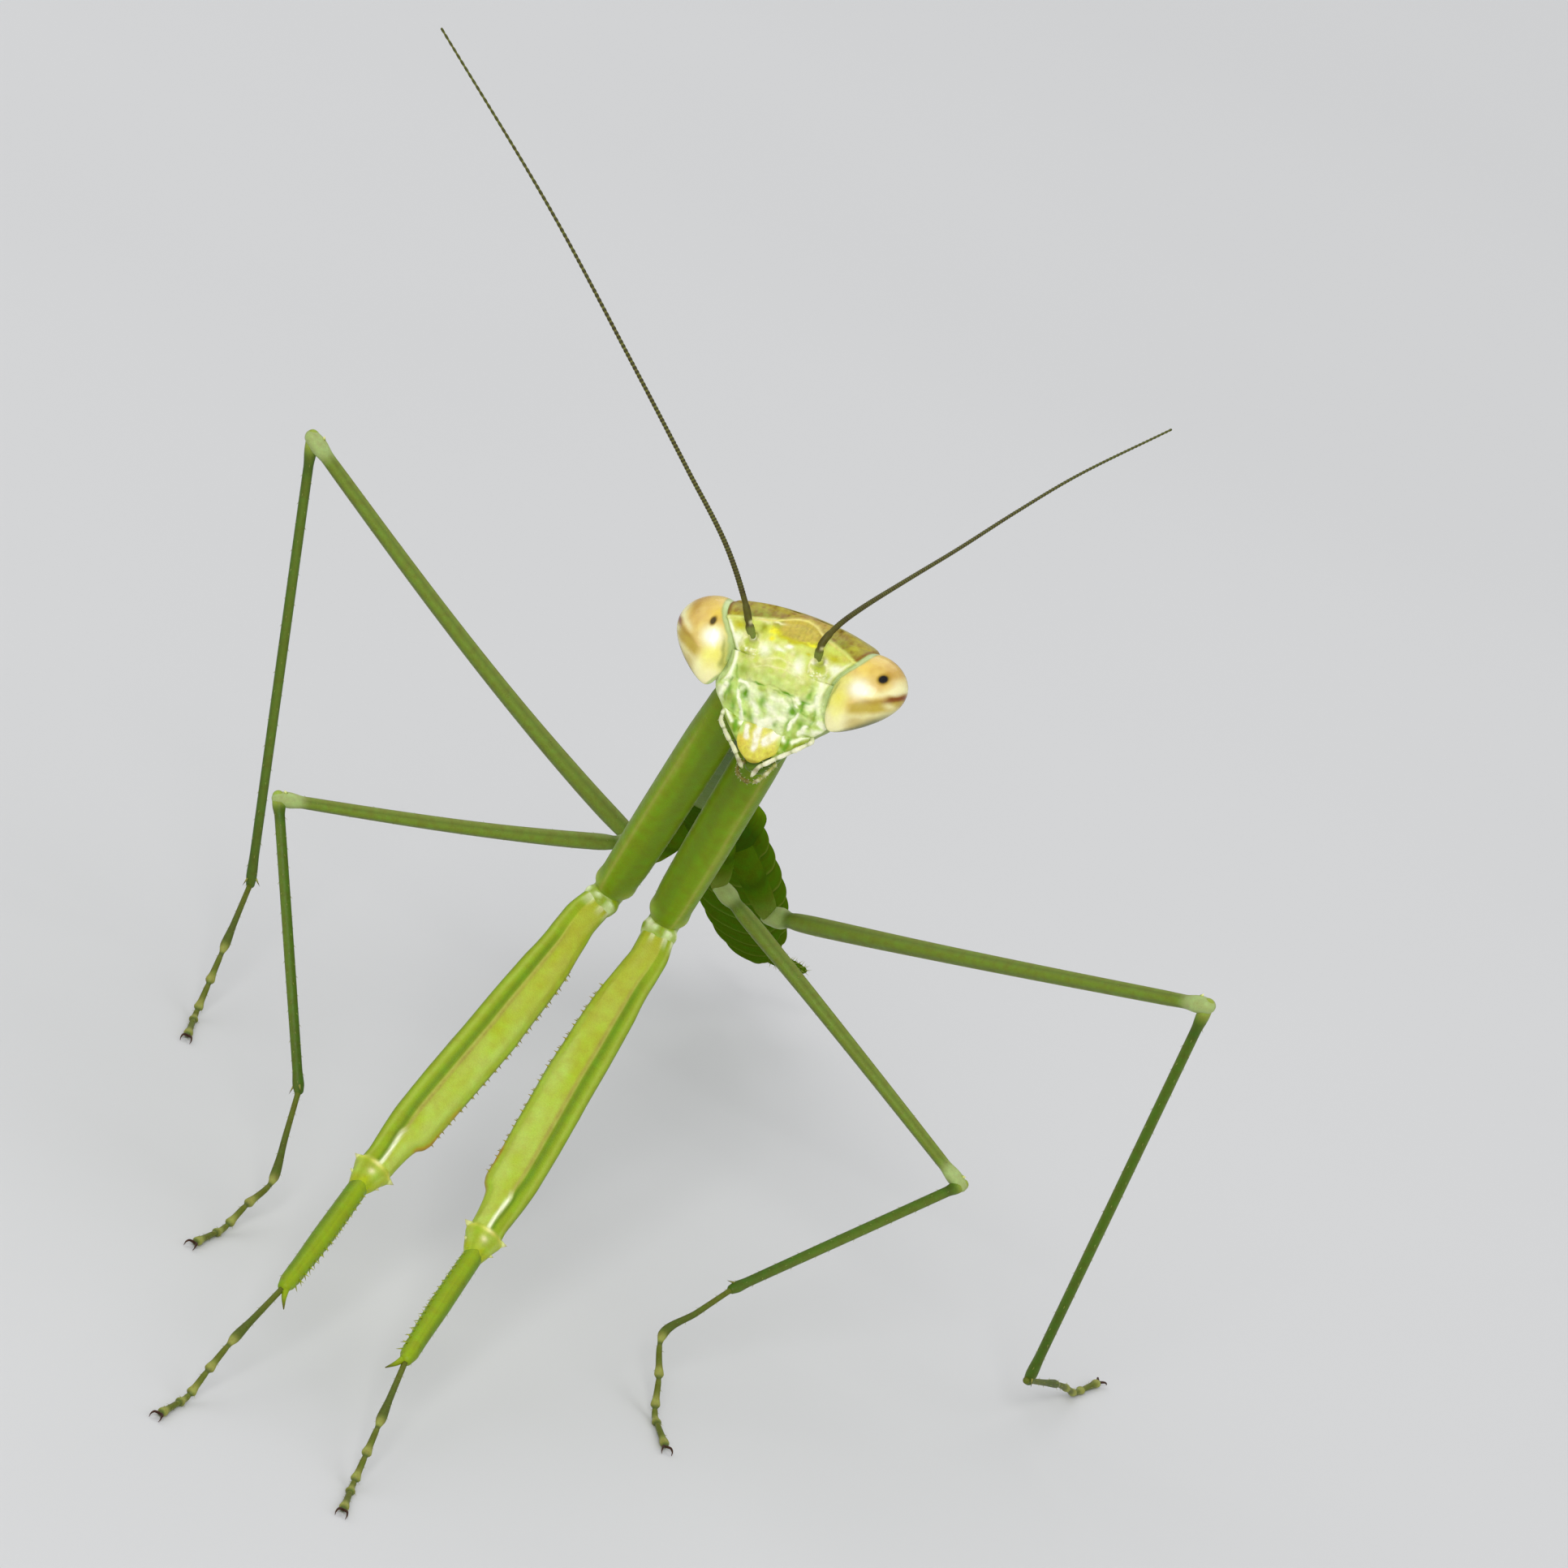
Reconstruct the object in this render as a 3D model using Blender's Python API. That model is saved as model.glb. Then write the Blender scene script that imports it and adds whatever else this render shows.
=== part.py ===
"""Praying mantis nymph of the Tenodera kind, life size, standing with its grasping legs held out in front.

The animal faces -Y, +Z is up and its own left side is +X. Every shape is drawn in millimetres from named
lengths and angles, each piece is cut back from the neighbour that it sits on, and the finished pieces are
brought to metres at the end. Angles are in degrees: an azimuth is measured from straight ahead towards the
animal's left, and a pitch upwards from level.
"""

import math

import bmesh
import bpy
import numpy as np
from mathutils import Matrix, Vector

MM = 0.001
SEAT_GAP = 0.03
SHORTEST_EDGE = 0.001
ROUND_END_ANGLES = (35.0, 68.0)

# Head, in its own frame: x to the animal's left, y backwards, z up, from the middle of the antenna line.
HEAD_CENTRE = Vector((-0.71, -7.60, 17.24))
HEAD_AZIMUTH = -20.0
HEAD_PITCH = 12.0
HEAD_LEAN = 10.0
EYE_CENTRE = Vector((1.73, -0.43, -0.33))
EYE_LONG, EYE_WIDE, EYE_DEEP = 0.91, 0.64, 0.52
EYE_LEAN = 24.1
EYE_EGG = 0.43
EYE_SWING = 0.31
ANTENNA_RADIUS = 0.25
MOUTH_TOP, MOUTH_TIP, MOUTH_OVERLAP = -1.62, -2.62, 0.1
# Each antenna runs from its socket through these places of the head's frame.
ANTENNA_LINE = {
    "right": [(-0.81, -0.66, 0.07), (-1.10, -0.86, 0.64), (-1.79, -1.10, 1.61), (-2.97, -1.47, 2.81),
              (-4.71, -1.93, 4.51), (-7.21, -2.47, 6.86), (-10.47, -3.01, 9.56)],
    "left": [(0.67, -0.65, 0.09), (0.70, -0.80, 0.42), (0.80, -0.50, 0.88), (0.99, 0.66, 1.54),
             (1.33, 3.50, 2.82), (1.52, 5.88, 3.82), (1.73, 8.27, 4.78), (2.22, 12.08, 6.20)],
}
ANTENNA_STEPS = 15
NECK_ROOT = Vector((0.1, 0.6, -0.45))

# The whole animal is moved by this at the end, so that the middle of its ground area is the origin.
GROUND_SHIFT = Vector((-0.07, -0.24, 0.0))

# Trunk: a straight front part, then a bend to the hind body, which swings towards the animal's left.
NECK = Vector((-1.0, -6.2, 16.81))
PROTHORAX_LENGTH, PROTHORAX_PITCH = 9.4, -41.0
HIND_BODY_AZIMUTH = 168.9
PTEROTHORAX_LENGTH, PTEROTHORAX_PITCH = 4.5, -25.0
ABDOMEN_LENGTH, ABDOMEN_PITCH = 13.4, -31.0
ABDOMEN_RINGS = 9
CERCUS_LENGTH, CERCUS_RADIUS = 1.7, 0.25

# Legs: lengths shared by both sides, then where each leg starts and how each of its lengths is turned.
FORE_COXA, FORE_FEMUR, FORE_TIBIA, FORE_TARSUS = 6.58, 8.25, 4.26, 4.7
MID_FEMUR, MID_TIBIA, MID_BASITARSUS, MID_TOES = 8.29, 6.22, 2.1, 3.0
HIND_FEMUR, HIND_TIBIA, HIND_TARSUS = 11.8, 10.75, 4.7
LIMB_RADIUS = 0.25
SOLE_HEIGHT = 0.2
SOLE_LENGTH = 1.1
TROCHANTER = 0.42
CLAW_LENGTH, CLAW_TURN = 0.66, 0.34

FORE_POSE = {
    "right": {"base": (-1.46, -5.06, 14.94), "coxa": (-166.8, -66.6), "femur": (-21.3, -42.4),
              "tibia": (-9.2, -19.4), "tarsus": (-16.8, -24.4)},
    "left": {"base": (-0.32, -5.06, 14.94), "coxa": (-169.7, -67.9), "femur": (-7.4, -44.2),
             "tibia": (-7.6, -19.3), "tarsus": (0.1, -20.8)},
}
MID_POSE = {
    "right": {"knot": (-1.78, 2.57, 8.26), "femur": (-64.6, -7.5), "tibia": (46.8, -49.9),
              "basitarsus": (10.5, -43.8), "toes": (-19.4, -19.1)},
    "left": {"knot": (0.11, 2.19, 8.30), "femur": (80.0, -25.2), "tibia": (-41.0, -24.5),
             "basitarsus": (-32.2, -27.4), "toes": (19.6, -24.2)},
}
HIND_POSE = {
    "right": {"knot": (-1.41, 5.43, 7.02), "femur": (-90.0, 28.4), "tibia": (107.6, -74.9),
              "tarsus": (2.0, -27.7)},
    "left": {"knot": (1.48, 4.88, 7.10), "femur": (55.0, 22.7), "tibia": (174.0, -76.7),
             "tarsus": (157.1, -15.6)},
}
SIDES = {"right": -1.0, "left": 1.0}
WHOLE_SHAPES = {}

LEAF_GREEN = (0.34, 0.52, 0.08)
PALE_GREEN = (0.52, 0.62, 0.30)
FACE_GREEN = (0.55, 0.68, 0.33)
OLIVE = (0.24, 0.27, 0.08)
GREY_GREEN = (0.40, 0.44, 0.26)
EYE_CREAM = (0.80, 0.66, 0.36)
DARK_OLIVE = (0.12, 0.12, 0.04)
TAN = (0.55, 0.48, 0.26)


def aim(azimuth, pitch):
    """Unit vector at an azimuth from straight ahead and a pitch above level."""
    turn, rise = math.radians(azimuth), math.radians(pitch)
    return Vector((math.sin(turn) * math.cos(rise), -math.cos(turn) * math.cos(rise), math.sin(rise)))


def head_frame():
    """The head's own axes and place as a matrix."""
    ahead = aim(HEAD_AZIMUTH, HEAD_PITCH)
    across = Vector((0, 0, 1)).cross(ahead).normalized()
    upward = ahead.cross(across)
    lean = math.radians(HEAD_LEAN)
    tilted_up = upward * math.cos(lean) - across * math.sin(lean)
    tilted_across = across * math.cos(lean) + upward * math.sin(lean)
    columns = Matrix((tilted_across, -ahead, tilted_up)).transposed()
    return Matrix.Translation(HEAD_CENTRE) @ columns.to_4x4()


def oval(count, power=2.0):
    """Cosine-like and sine-like factors of a closed oval; a power over 2 makes its sides flatter."""
    angles = np.arange(count) * 2 * math.pi / count
    cosine, sine = np.cos(angles), np.sin(angles)
    return (np.sign(cosine) * np.abs(cosine) ** (2 / power), np.sign(sine) * np.abs(sine) ** (2 / power))


def new_object(name, shape, colour, roughness=0.45):
    """Turns a bmesh into a smooth shaded object with its own material."""
    bmesh.ops.recalc_face_normals(shape, faces=shape.faces)
    mesh = bpy.data.meshes.new(name)
    shape.to_mesh(mesh)
    shape.free()
    mesh.shade_smooth()
    material = bpy.data.materials.new(name)
    material.use_nodes = True
    finish = material.node_tree.nodes["Principled BSDF"]
    finish.inputs["Base Color"].default_value = (*colour, 1.0)
    finish.inputs["Roughness"].default_value = roughness
    finish.inputs["Metallic"].default_value = 0.0
    mesh.materials.append(material)
    piece = bpy.data.objects.new(name, mesh)
    bpy.context.scene.collection.objects.link(piece)
    WHOLE_SHAPES[name] = mesh.copy()
    return piece


def loft(name, rings, colour, roughness=0.45):
    """Joins rings of equally many points into one skin and closes both ends."""
    shape = bmesh.new()
    loops = [[shape.verts.new(point) for point in ring] for ring in rings]
    for near, far in zip(loops, loops[1:]):
        for i in range(len(near)):
            j = (i + 1) % len(near)
            shape.faces.new((near[i], near[j], far[j], far[i]))
    shape.faces.new(loops[0])
    shape.faces.new(loops[-1])
    return new_object(name, shape, colour, roughness)


def along(path, fractions):
    """Points at fractions of the length of a bent line, and its smoothed direction at each of them."""
    corners = np.array([tuple(point) for point in path], dtype=float)
    lengths = np.concatenate([[0.0], np.cumsum(np.linalg.norm(np.diff(corners, axis=0), axis=1))])
    lengths /= lengths[-1]

    def at(where):
        return np.stack([np.interp(where, lengths, corners[:, axis]) for axis in range(3)], axis=1)

    fractions = np.asarray(fractions, dtype=float)
    reach = 0.02
    ahead = at(np.clip(fractions + reach, 0, 1)) - at(np.clip(fractions - reach, 0, 1))
    return at(fractions), ahead / np.linalg.norm(ahead, axis=1, keepdims=True)


def curve_through(points, count):
    """Evenly spaced points of a smooth curve through the given ones.

    Between two points the curve is a cubic, whose slope at a point is that of the line from the point
    before to the point after it.
    """
    knots = np.array(points, dtype=float)
    marks = np.concatenate([[0.0], np.cumsum(np.linalg.norm(np.diff(knots, axis=0), axis=1))])
    slopes = np.gradient(knots, marks, axis=0)
    where = np.linspace(0.0, marks[-1], count)
    index = np.clip(np.searchsorted(marks, where) - 1, 0, len(knots) - 2)
    span = (marks[index + 1] - marks[index])[:, None]
    share = (where - marks[index])[:, None] / span
    rest = 1 - share
    return (knots[index] * (1 + 2 * share) * rest ** 2 + knots[index + 1] * (3 - 2 * share) * share ** 2
            + span * share * rest * (slopes[index] * rest - slopes[index + 1] * share))


def limb(name, path, profile, colour, facing=(0.0, 0.0, 1.0), count=8, power=2.0, roughness=0.45):
    """A long piece with rounded ends.

    Each entry of the profile is a fraction of the path, the reach towards the inner side, the reach towards
    the outer side, and half the thickness across them. The flat side looks along facing, and the inner side
    is the path's direction crossed with facing.
    """
    table = np.array(profile, dtype=float)
    centres, ahead = along(path, table[:, 0])
    inward = np.cross(ahead, np.array(facing, dtype=float))
    inward /= np.linalg.norm(inward, axis=1, keepdims=True)
    flatward = np.cross(inward, ahead)
    cosine, sine = oval(count, power)
    rings = []

    def add_ring(row, shift, shrink):
        reach_in, reach_out, half_thick = table[row, 1:] * shrink
        half_wide = (reach_in + reach_out) / 2
        middle = centres[row] + ahead[row] * shift + inward[row] * (reach_in - reach_out) / 2
        points = (middle + np.outer(cosine * half_wide, inward[row])
                  + np.outer(sine * half_thick, flatward[row]))
        rings.append([tuple(point) for point in points])

    first, last = 0, len(table) - 1
    round_first, round_last = table[first, 1:].min(), table[last, 1:].min()
    for angle in reversed(ROUND_END_ANGLES):
        turn = math.radians(angle)
        add_ring(first, -round_first * math.sin(turn), math.cos(turn))
    for row in range(len(table)):
        add_ring(row, 0.0, 1.0)
    for angle in ROUND_END_ANGLES:
        turn = math.radians(angle)
        add_ring(last, round_last * math.sin(turn), math.cos(turn))
    return loft(name, rings, colour, roughness)


def plain_profile(start, end, steps=2):
    """A round profile whose radius goes evenly from start to end."""
    fractions = np.linspace(0, 1, steps)
    radii = start + (end - start) * fractions
    return [(f, r, r, r) for f, r in zip(fractions, radii)]


def jointed_profile(radius, joints, swell=0.04, root=0.15):
    """A round profile that starts narrow at the ankle and swells a little before each of a foot's joints."""
    rows = [(0.0, root, root, root), (0.08, radius, radius, radius)]
    for i in range(joints):
        start, end = i / joints, (i + 1) / joints
        rows.append((start + 0.75 * (end - start), *(radius + swell,) * 3))
        rows.append((end, radius, radius, radius))
    return rows


def grown_copy(piece):
    """A cutter: the piece, whole as it was before its own cuts, grown by the gap that neighbours keep."""
    shape = bmesh.new()
    shape.from_mesh(WHOLE_SHAPES[piece.name])
    shape.normal_update()
    moves = [vertex.normal * SEAT_GAP for vertex in shape.verts]
    for vertex, move in zip(shape.verts, moves):
        vertex.co += move
    mesh = bpy.data.meshes.new(piece.name + "_cutter")
    shape.to_mesh(mesh)
    shape.free()
    cutter = bpy.data.objects.new(mesh.name, mesh)
    cutter.hide_render = True
    cutter.display_type = "WIRE"
    bpy.context.scene.collection.objects.link(cutter)
    return cutter


def largest_body(shape):
    """Deletes everything but the largest connected body of a bmesh."""
    unseen, bodies = set(shape.verts), []
    while unseen:
        body, edge_of_search = set(), [unseen.pop()]
        while edge_of_search:
            vertex = edge_of_search.pop()
            body.add(vertex)
            for edge in vertex.link_edges:
                other = edge.other_vert(vertex)
                if other in unseen:
                    unseen.discard(other)
                    edge_of_search.append(other)
        bodies.append(body)
    bodies.sort(key=len)
    for body in bodies[:-1]:
        bmesh.ops.delete(shape, geom=list(body), context="VERTS")


def delete_fins(shape):
    """Deletes triangles that lie back to back on the same three points, which enclose nothing."""
    on_points = {}
    for face in shape.faces:
        on_points.setdefault(frozenset(face.verts), []).append(face)
    fins = [face for faces in on_points.values() if len(faces) > 1 for face in faces]
    bmesh.ops.delete(shape, geom=fins, context="FACES")


def seat(piece, *neighbours):
    """Cuts a piece back from the neighbours that it sits on, and keeps what shows of it."""
    for neighbour in neighbours:
        cutter = grown_copy(neighbour)
        cut = piece.modifiers.new("seat", "BOOLEAN")
        cut.operation = "DIFFERENCE"
        cut.solver = "EXACT"
        cut.object = cutter
        graph = bpy.context.evaluated_depsgraph_get()
        mesh = bpy.data.meshes.new_from_object(piece.evaluated_get(graph))
        piece.modifiers.clear()
        shape = bmesh.new()
        shape.from_mesh(mesh)
        largest_body(shape)
        bmesh.ops.remove_doubles(shape, verts=shape.verts, dist=SHORTEST_EDGE)
        bmesh.ops.triangulate(shape, faces=shape.faces)
        delete_fins(shape)
        shape.to_mesh(mesh)
        shape.free()
        mesh.shade_smooth()
        piece.data = mesh
        bpy.data.objects.remove(cutter)


def blend(stations, where):
    """Reads a profile of (place, value, value, ...) rows at the given places, along a smooth line."""
    table = np.array(stations, dtype=float)
    where = np.asarray(where, dtype=float)
    index = np.clip(np.searchsorted(table[:, 0], where) - 1, 0, len(table) - 2)
    start, end = table[index], table[index + 1]
    share = np.clip((where - start[:, 0]) / (end[:, 0] - start[:, 0]), 0, 1)
    share = share * share * (3 - 2 * share)
    return start[:, 1:] + (end[:, 1:] - start[:, 1:]) * share[:, None]


def make_head(frame):
    """The head capsule: level ovals stacked from the mouth to the crown, flat across the face."""
    heights = np.linspace(-1.60, 0.78, 13)
    # height, half width, reach to the face, reach to the back
    outline = [(-1.60, 0.86, 0.64, 0.50), (-1.25, 1.18, 0.72, 0.72), (-0.60, 1.42, 0.78, 0.86),
               (0.15, 1.60, 0.76, 0.92), (0.48, 1.56, 0.50, 0.84), (0.78, 0.90, 0.06, 0.56)]
    rings = []
    cosine, sine = oval(18, 2.6)
    for height, (half_wide, ahead, behind) in zip(heights, blend(outline, heights)):
        reach = np.where(sine < 0, ahead, behind)
        points = zip(cosine * half_wide, sine * reach)
        rings.append([frame @ Vector((x, y, height)) for x, y in points])
    return loft("head", rings, FACE_GREEN, 0.35)


def make_eye(name, side, frame, head):
    """A compound eye: an egg, thick end up, that leans outwards and a little back over the head's corner."""
    shape = bmesh.new()
    bmesh.ops.create_uvsphere(shape, u_segments=16, v_segments=12, radius=1.0)
    lean = math.radians(EYE_LEAN)
    for vertex in shape.verts:
        wide, deep, long = vertex.co
        wide *= EYE_WIDE * (1 + EYE_EGG * long)
        deep = deep * EYE_DEEP * (1 + EYE_EGG * long) + EYE_SWING * long
        long *= EYE_LONG
        out = wide * math.cos(lean) + long * math.sin(lean)
        rise = long * math.cos(lean) - wide * math.sin(lean)
        place = EYE_CENTRE + Vector((out, deep, rise))
        vertex.co = frame @ Vector((place.x * side, place.y, place.z))
    eye = new_object(name, shape, EYE_CREAM, 0.2)
    seat(eye, head)
    return eye


def make_mouthparts(frame, head):
    """Upper lip, jaws and feelers of the mouth as one wedge below the face."""
    outline = [(MOUTH_TOP, 0.80, 0.62, 0.45), (-2.15, 0.52, 0.56, 0.36), (MOUTH_TIP, 0.20, 0.36, 0.08)]
    heights = np.linspace(MOUTH_TOP + MOUTH_OVERLAP, MOUTH_TIP, 6)
    cosine, sine = oval(12, 2.3)
    rings = []
    for height, (half_wide, ahead, behind) in zip(heights, blend(outline, heights)):
        reach = np.where(sine < 0, ahead, behind)
        rings.append([frame @ Vector((x, y, height)) for x, y in zip(cosine * half_wide, sine * reach)])
    mouth = loft("mouthparts", rings, PALE_GREEN, 0.4)
    seat(mouth, head)
    return mouth


def make_antenna(name, line, frame, head):
    """A feeler along a gently curved line, no thinner than the least thickness that a cast model holds."""
    path = [frame @ Vector(point) for point in curve_through(line, ANTENNA_STEPS)]
    profile = plain_profile(ANTENNA_RADIUS, ANTENNA_RADIUS, ANTENNA_STEPS)
    antenna = limb(name, path, profile, DARK_OLIVE, facing=(0.0, -1.0, 0.3), count=8)
    seat(antenna, head)
    return antenna


def trunk_path():
    """The body's middle line from the neck to the end of the abdomen, with its joints as lengths along it."""
    prothorax_end = NECK + aim(180.0, PROTHORAX_PITCH) * PROTHORAX_LENGTH
    waist = prothorax_end + aim(HIND_BODY_AZIMUTH, PTEROTHORAX_PITCH) * PTEROTHORAX_LENGTH
    end = waist + aim(HIND_BODY_AZIMUTH, ABDOMEN_PITCH) * ABDOMEN_LENGTH
    return [NECK, prothorax_end, waist, end]


def trunk_piece(name, start, end, outline, colour, steps, count=14, power=2.3):
    """A length of the trunk between two marks, in millimetres along it, from half widths and half heights."""
    total = PROTHORAX_LENGTH + PTEROTHORAX_LENGTH + ABDOMEN_LENGTH
    marks = np.linspace(start + SEAT_GAP / 2, end - SEAT_GAP / 2, steps)
    sizes = blend(outline, marks)
    centres, ahead = along(trunk_path(), marks / total)
    across = np.cross(np.array([0.0, 0.0, 1.0]), -ahead)
    across /= np.linalg.norm(across, axis=1, keepdims=True)
    upward = np.cross(-ahead, across)
    cosine, sine = oval(count, power)
    rings = []
    for centre, side_axis, up_axis, (half_wide, above, below) in zip(centres, across, upward, sizes):
        reach = np.where(sine > 0, above, below)
        points = centre + np.outer(cosine * half_wide, side_axis) + np.outer(sine * reach, up_axis)
        rings.append([tuple(point) for point in points])
    return loft(name, rings, colour)


def make_trunk(head):
    """Neck, three thorax rings and three lengths of abdomen."""
    waist = PROTHORAX_LENGTH + PTEROTHORAX_LENGTH
    half_wings = PROTHORAX_LENGTH + PTEROTHORAX_LENGTH / 2
    # place along the trunk, half width, height above and depth below the middle line
    prothorax = [(0.0, 0.62, 0.34, 0.36), (0.9, 0.86, 0.50, 0.50), (2.3, 1.14, 0.60, 0.56),
                 (4.0, 0.80, 0.50, 0.48), (7.5, 0.66, 0.46, 0.44), (PROTHORAX_LENGTH, 0.76, 0.50, 0.52)]
    wings = [(PROTHORAX_LENGTH, 0.74, 0.50, 0.60), (PROTHORAX_LENGTH + 1.0, 0.92, 0.62, 0.84),
             (half_wings, 0.88, 0.60, 0.84), (waist - 0.9, 0.94, 0.62, 0.86), (waist, 0.80, 0.54, 0.70)]
    body_end = waist + ABDOMEN_LENGTH
    abdomen = [(waist, 0.78, 0.54, 0.66), (waist + 2.2, 0.92, 0.62, 0.74), (waist + 6.2, 1.10, 0.66, 0.84),
               (waist + 9.6, 0.98, 0.58, 0.70), (waist + 12.2, 0.62, 0.40, 0.46), (body_end, 0.26, 0.25, 0.25)]
    pieces = {
        "prothorax": trunk_piece("prothorax", 0.0, PROTHORAX_LENGTH, prothorax, LEAF_GREEN, 12),
        "mesothorax": trunk_piece("mesothorax", PROTHORAX_LENGTH, half_wings, wings, OLIVE, 5),
        "metathorax": trunk_piece("metathorax", half_wings, waist, wings, OLIVE, 5),
    }
    names = ("abdomen_front", "abdomen_middle", "abdomen_rear")
    ring_length = ABDOMEN_LENGTH / ABDOMEN_RINGS
    per_piece = ABDOMEN_RINGS // len(names)
    for i, name in enumerate(names):
        start = waist + i * per_piece * ring_length
        end = start + per_piece * ring_length
        pieces[name] = trunk_piece(name, start, end, abdomen, OLIVE, 7)
    for side_name, side in SIDES.items():
        pieces["cercus_" + side_name] = make_cercus(side_name, side, pieces["abdomen_rear"])
    back_of_head = head_frame() @ NECK_ROOT
    neck = limb("neck", [back_of_head, NECK + aim(180.0, PROTHORAX_PITCH) * 0.3],
                plain_profile(0.46, 0.42), PALE_GREEN, facing=(0.0, 0.0, 1.0), count=10)
    seat(neck, head, pieces["prothorax"])
    pieces["neck"] = neck
    return pieces


def make_cercus(side_name, side, abdomen_end):
    """One of the two short feelers at the end of the abdomen."""
    _, _, waist, end = trunk_path()
    backward = (end - waist).normalized()
    root = end - backward * 0.5 + Vector((0.33 * side, 0.0, 0.0))
    tip = root + aim(HIND_BODY_AZIMUTH - 24.0 * side, ABDOMEN_PITCH + 14.0) * CERCUS_LENGTH
    cercus = limb("cercus_" + side_name, [root, tip], plain_profile(CERCUS_RADIUS, CERCUS_RADIUS, 3), OLIVE)
    seat(cercus, abdomen_end)
    return cercus


def toothed_profile(stations, teeth, first, last, depth, steps_per_tooth=2):
    """A profile whose inner edge carries a row of teeth between two fractions of its length."""
    plain = np.array([row[0] for row in stations])
    tooth_places = np.linspace(first, last, teeth * steps_per_tooth + 1)
    outside = plain[(plain < first - 0.01) | (plain > last + 0.01)]
    places = np.sort(np.concatenate([outside, tooth_places]))
    sizes = blend(stations, places)
    rows = []
    for place, (reach_in, reach_out, half_thick) in zip(places, sizes):
        step = int(round((place - first) / (last - first) * teeth * steps_per_tooth))
        is_tip = first <= place <= last and step % steps_per_tooth == 1
        rows.append((place, reach_in + (depth if is_tip else 0.0), reach_out, half_thick))
    return rows


def lay_on_floor(piece):
    """Flattens what would reach below the floor into a small level sole."""
    for vertex in piece.data.vertices:
        vertex.co.z = max(vertex.co.z, 0.0)


def foot_path(ankle, joint, tip):
    """A foot's line: down from the ankle over its joint, then level to the tip, at the sole's height."""
    tip = Vector((tip.x, tip.y, SOLE_HEIGHT))
    back = Vector((joint.x - tip.x, joint.y - tip.y, 0.0)).normalized()
    return [ankle, joint, tip + back * SOLE_LENGTH, tip]


def make_fore_leg(side_name, side, pose, prothorax):
    """Grasping leg: coxa, trochanter, toothed femur, toothed tibia with its claw, and foot."""
    facing = aim(0.0, 20.0) * side
    base = Vector(pose["base"])
    hip = base + aim(*pose["coxa"]) * FORE_COXA
    knee = hip + aim(*pose["femur"]) * FORE_FEMUR
    ankle = knee + aim(*pose["tibia"]) * FORE_TIBIA
    tip = ankle + aim(*pose["tarsus"]) * FORE_TARSUS
    inner = aim(*pose["tibia"]).cross(facing).normalized()
    claw_tip = ankle + aim(*pose["tibia"]) * CLAW_LENGTH + inner * CLAW_TURN

    coxa = limb("fore_coxa_" + side_name, [base, hip],
                [(0.0, 0.40, 0.40, 0.42), (0.12, 0.49, 0.49, 0.48), (0.6, 0.47, 0.47, 0.44),
                 (0.86, 0.44, 0.44, 0.42), (0.95, 0.38, 0.38, 0.36)], LEAF_GREEN, facing, count=10)
    trochanter = limb("fore_trochanter_" + side_name, [hip, hip + aim(*pose["femur"]) * TROCHANTER],
                      [(0.0, 0.33, 0.33, 0.33), (0.5, 0.37, 0.38, 0.35), (1.0, 0.31, 0.32, 0.30)],
                      PALE_GREEN, facing, count=8)
    femur_outline = [(0.045, 0.32, 0.38, 0.27), (0.10, 0.31, 0.47, 0.28), (0.18, 0.38, 0.48, 0.29),
                     (0.30, 0.49, 0.49, 0.30), (0.45, 0.56, 0.50, 0.31), (0.60, 0.60, 0.48, 0.30),
                     (0.82, 0.59, 0.42, 0.28), (0.90, 0.50, 0.36, 0.27), (0.95, 0.44, 0.31, 0.26),
                     (1.0, 0.45, 0.36, 0.27)]
    femur = limb("fore_femur_" + side_name, [hip, knee],
                 toothed_profile(femur_outline, 7, 0.22, 0.80, 0.08), LEAF_GREEN, facing, count=10)
    tibia_outline = [(0.04, 0.25, 0.24, 0.25), (0.3, 0.28, 0.23, 0.25), (0.84, 0.22, 0.22, 0.25),
                     (1.0, 0.13, 0.13, 0.15)]
    tibia = limb("fore_tibia_" + side_name, [knee, ankle, claw_tip],
                 toothed_profile(tibia_outline, 6, 0.16, 0.78, 0.08), LEAF_GREEN, facing, count=8)
    joint = ankle + (tip - ankle) * 0.42
    tarsus = limb("fore_tarsus_" + side_name, foot_path(ankle, joint, tip),
                  jointed_profile(LIMB_RADIUS, 5), TAN)
    seat(coxa, prothorax)
    seat(trochanter, coxa)
    seat(femur, trochanter)
    seat(tibia, femur)
    seat(tarsus, tibia)
    lay_on_floor(tarsus)


def walking_leg(prefix, side_name, root, knot, knee, ankle, joint, tip, body):
    """Walking leg: short coxa under the body, slender femur and tibia, and a jointed foot."""
    coxa = limb(prefix + "_coxa_" + side_name, [root, knot],
                [(0.0, 0.34, 0.34, 0.34), (0.55, 0.36, 0.36, 0.36), (1.0, 0.28, 0.28, 0.28)], OLIVE)
    femur = limb(prefix + "_femur_" + side_name, [knot, knee],
                 [(0.0, 0.26, 0.26, 0.26), (0.06, 0.30, 0.30, 0.28), (0.5, 0.27, 0.27, 0.26),
                  (0.94, 0.25, 0.25, 0.25), (1.0, 0.28, 0.28, 0.27)], GREY_GREEN)
    tibia = limb(prefix + "_tibia_" + side_name, [knee, ankle],
                 [(0.0, 0.25, 0.25, 0.25), (0.5, 0.25, 0.25, 0.25), (1.0, 0.26, 0.26, 0.26)], OLIVE)
    tarsus = limb(prefix + "_tarsus_" + side_name, foot_path(ankle, joint, tip),
                  jointed_profile(LIMB_RADIUS, 5), TAN)
    seat(coxa, body)
    seat(femur, coxa)
    seat(tibia, femur)
    seat(tarsus, tibia)
    lay_on_floor(tarsus)


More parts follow.
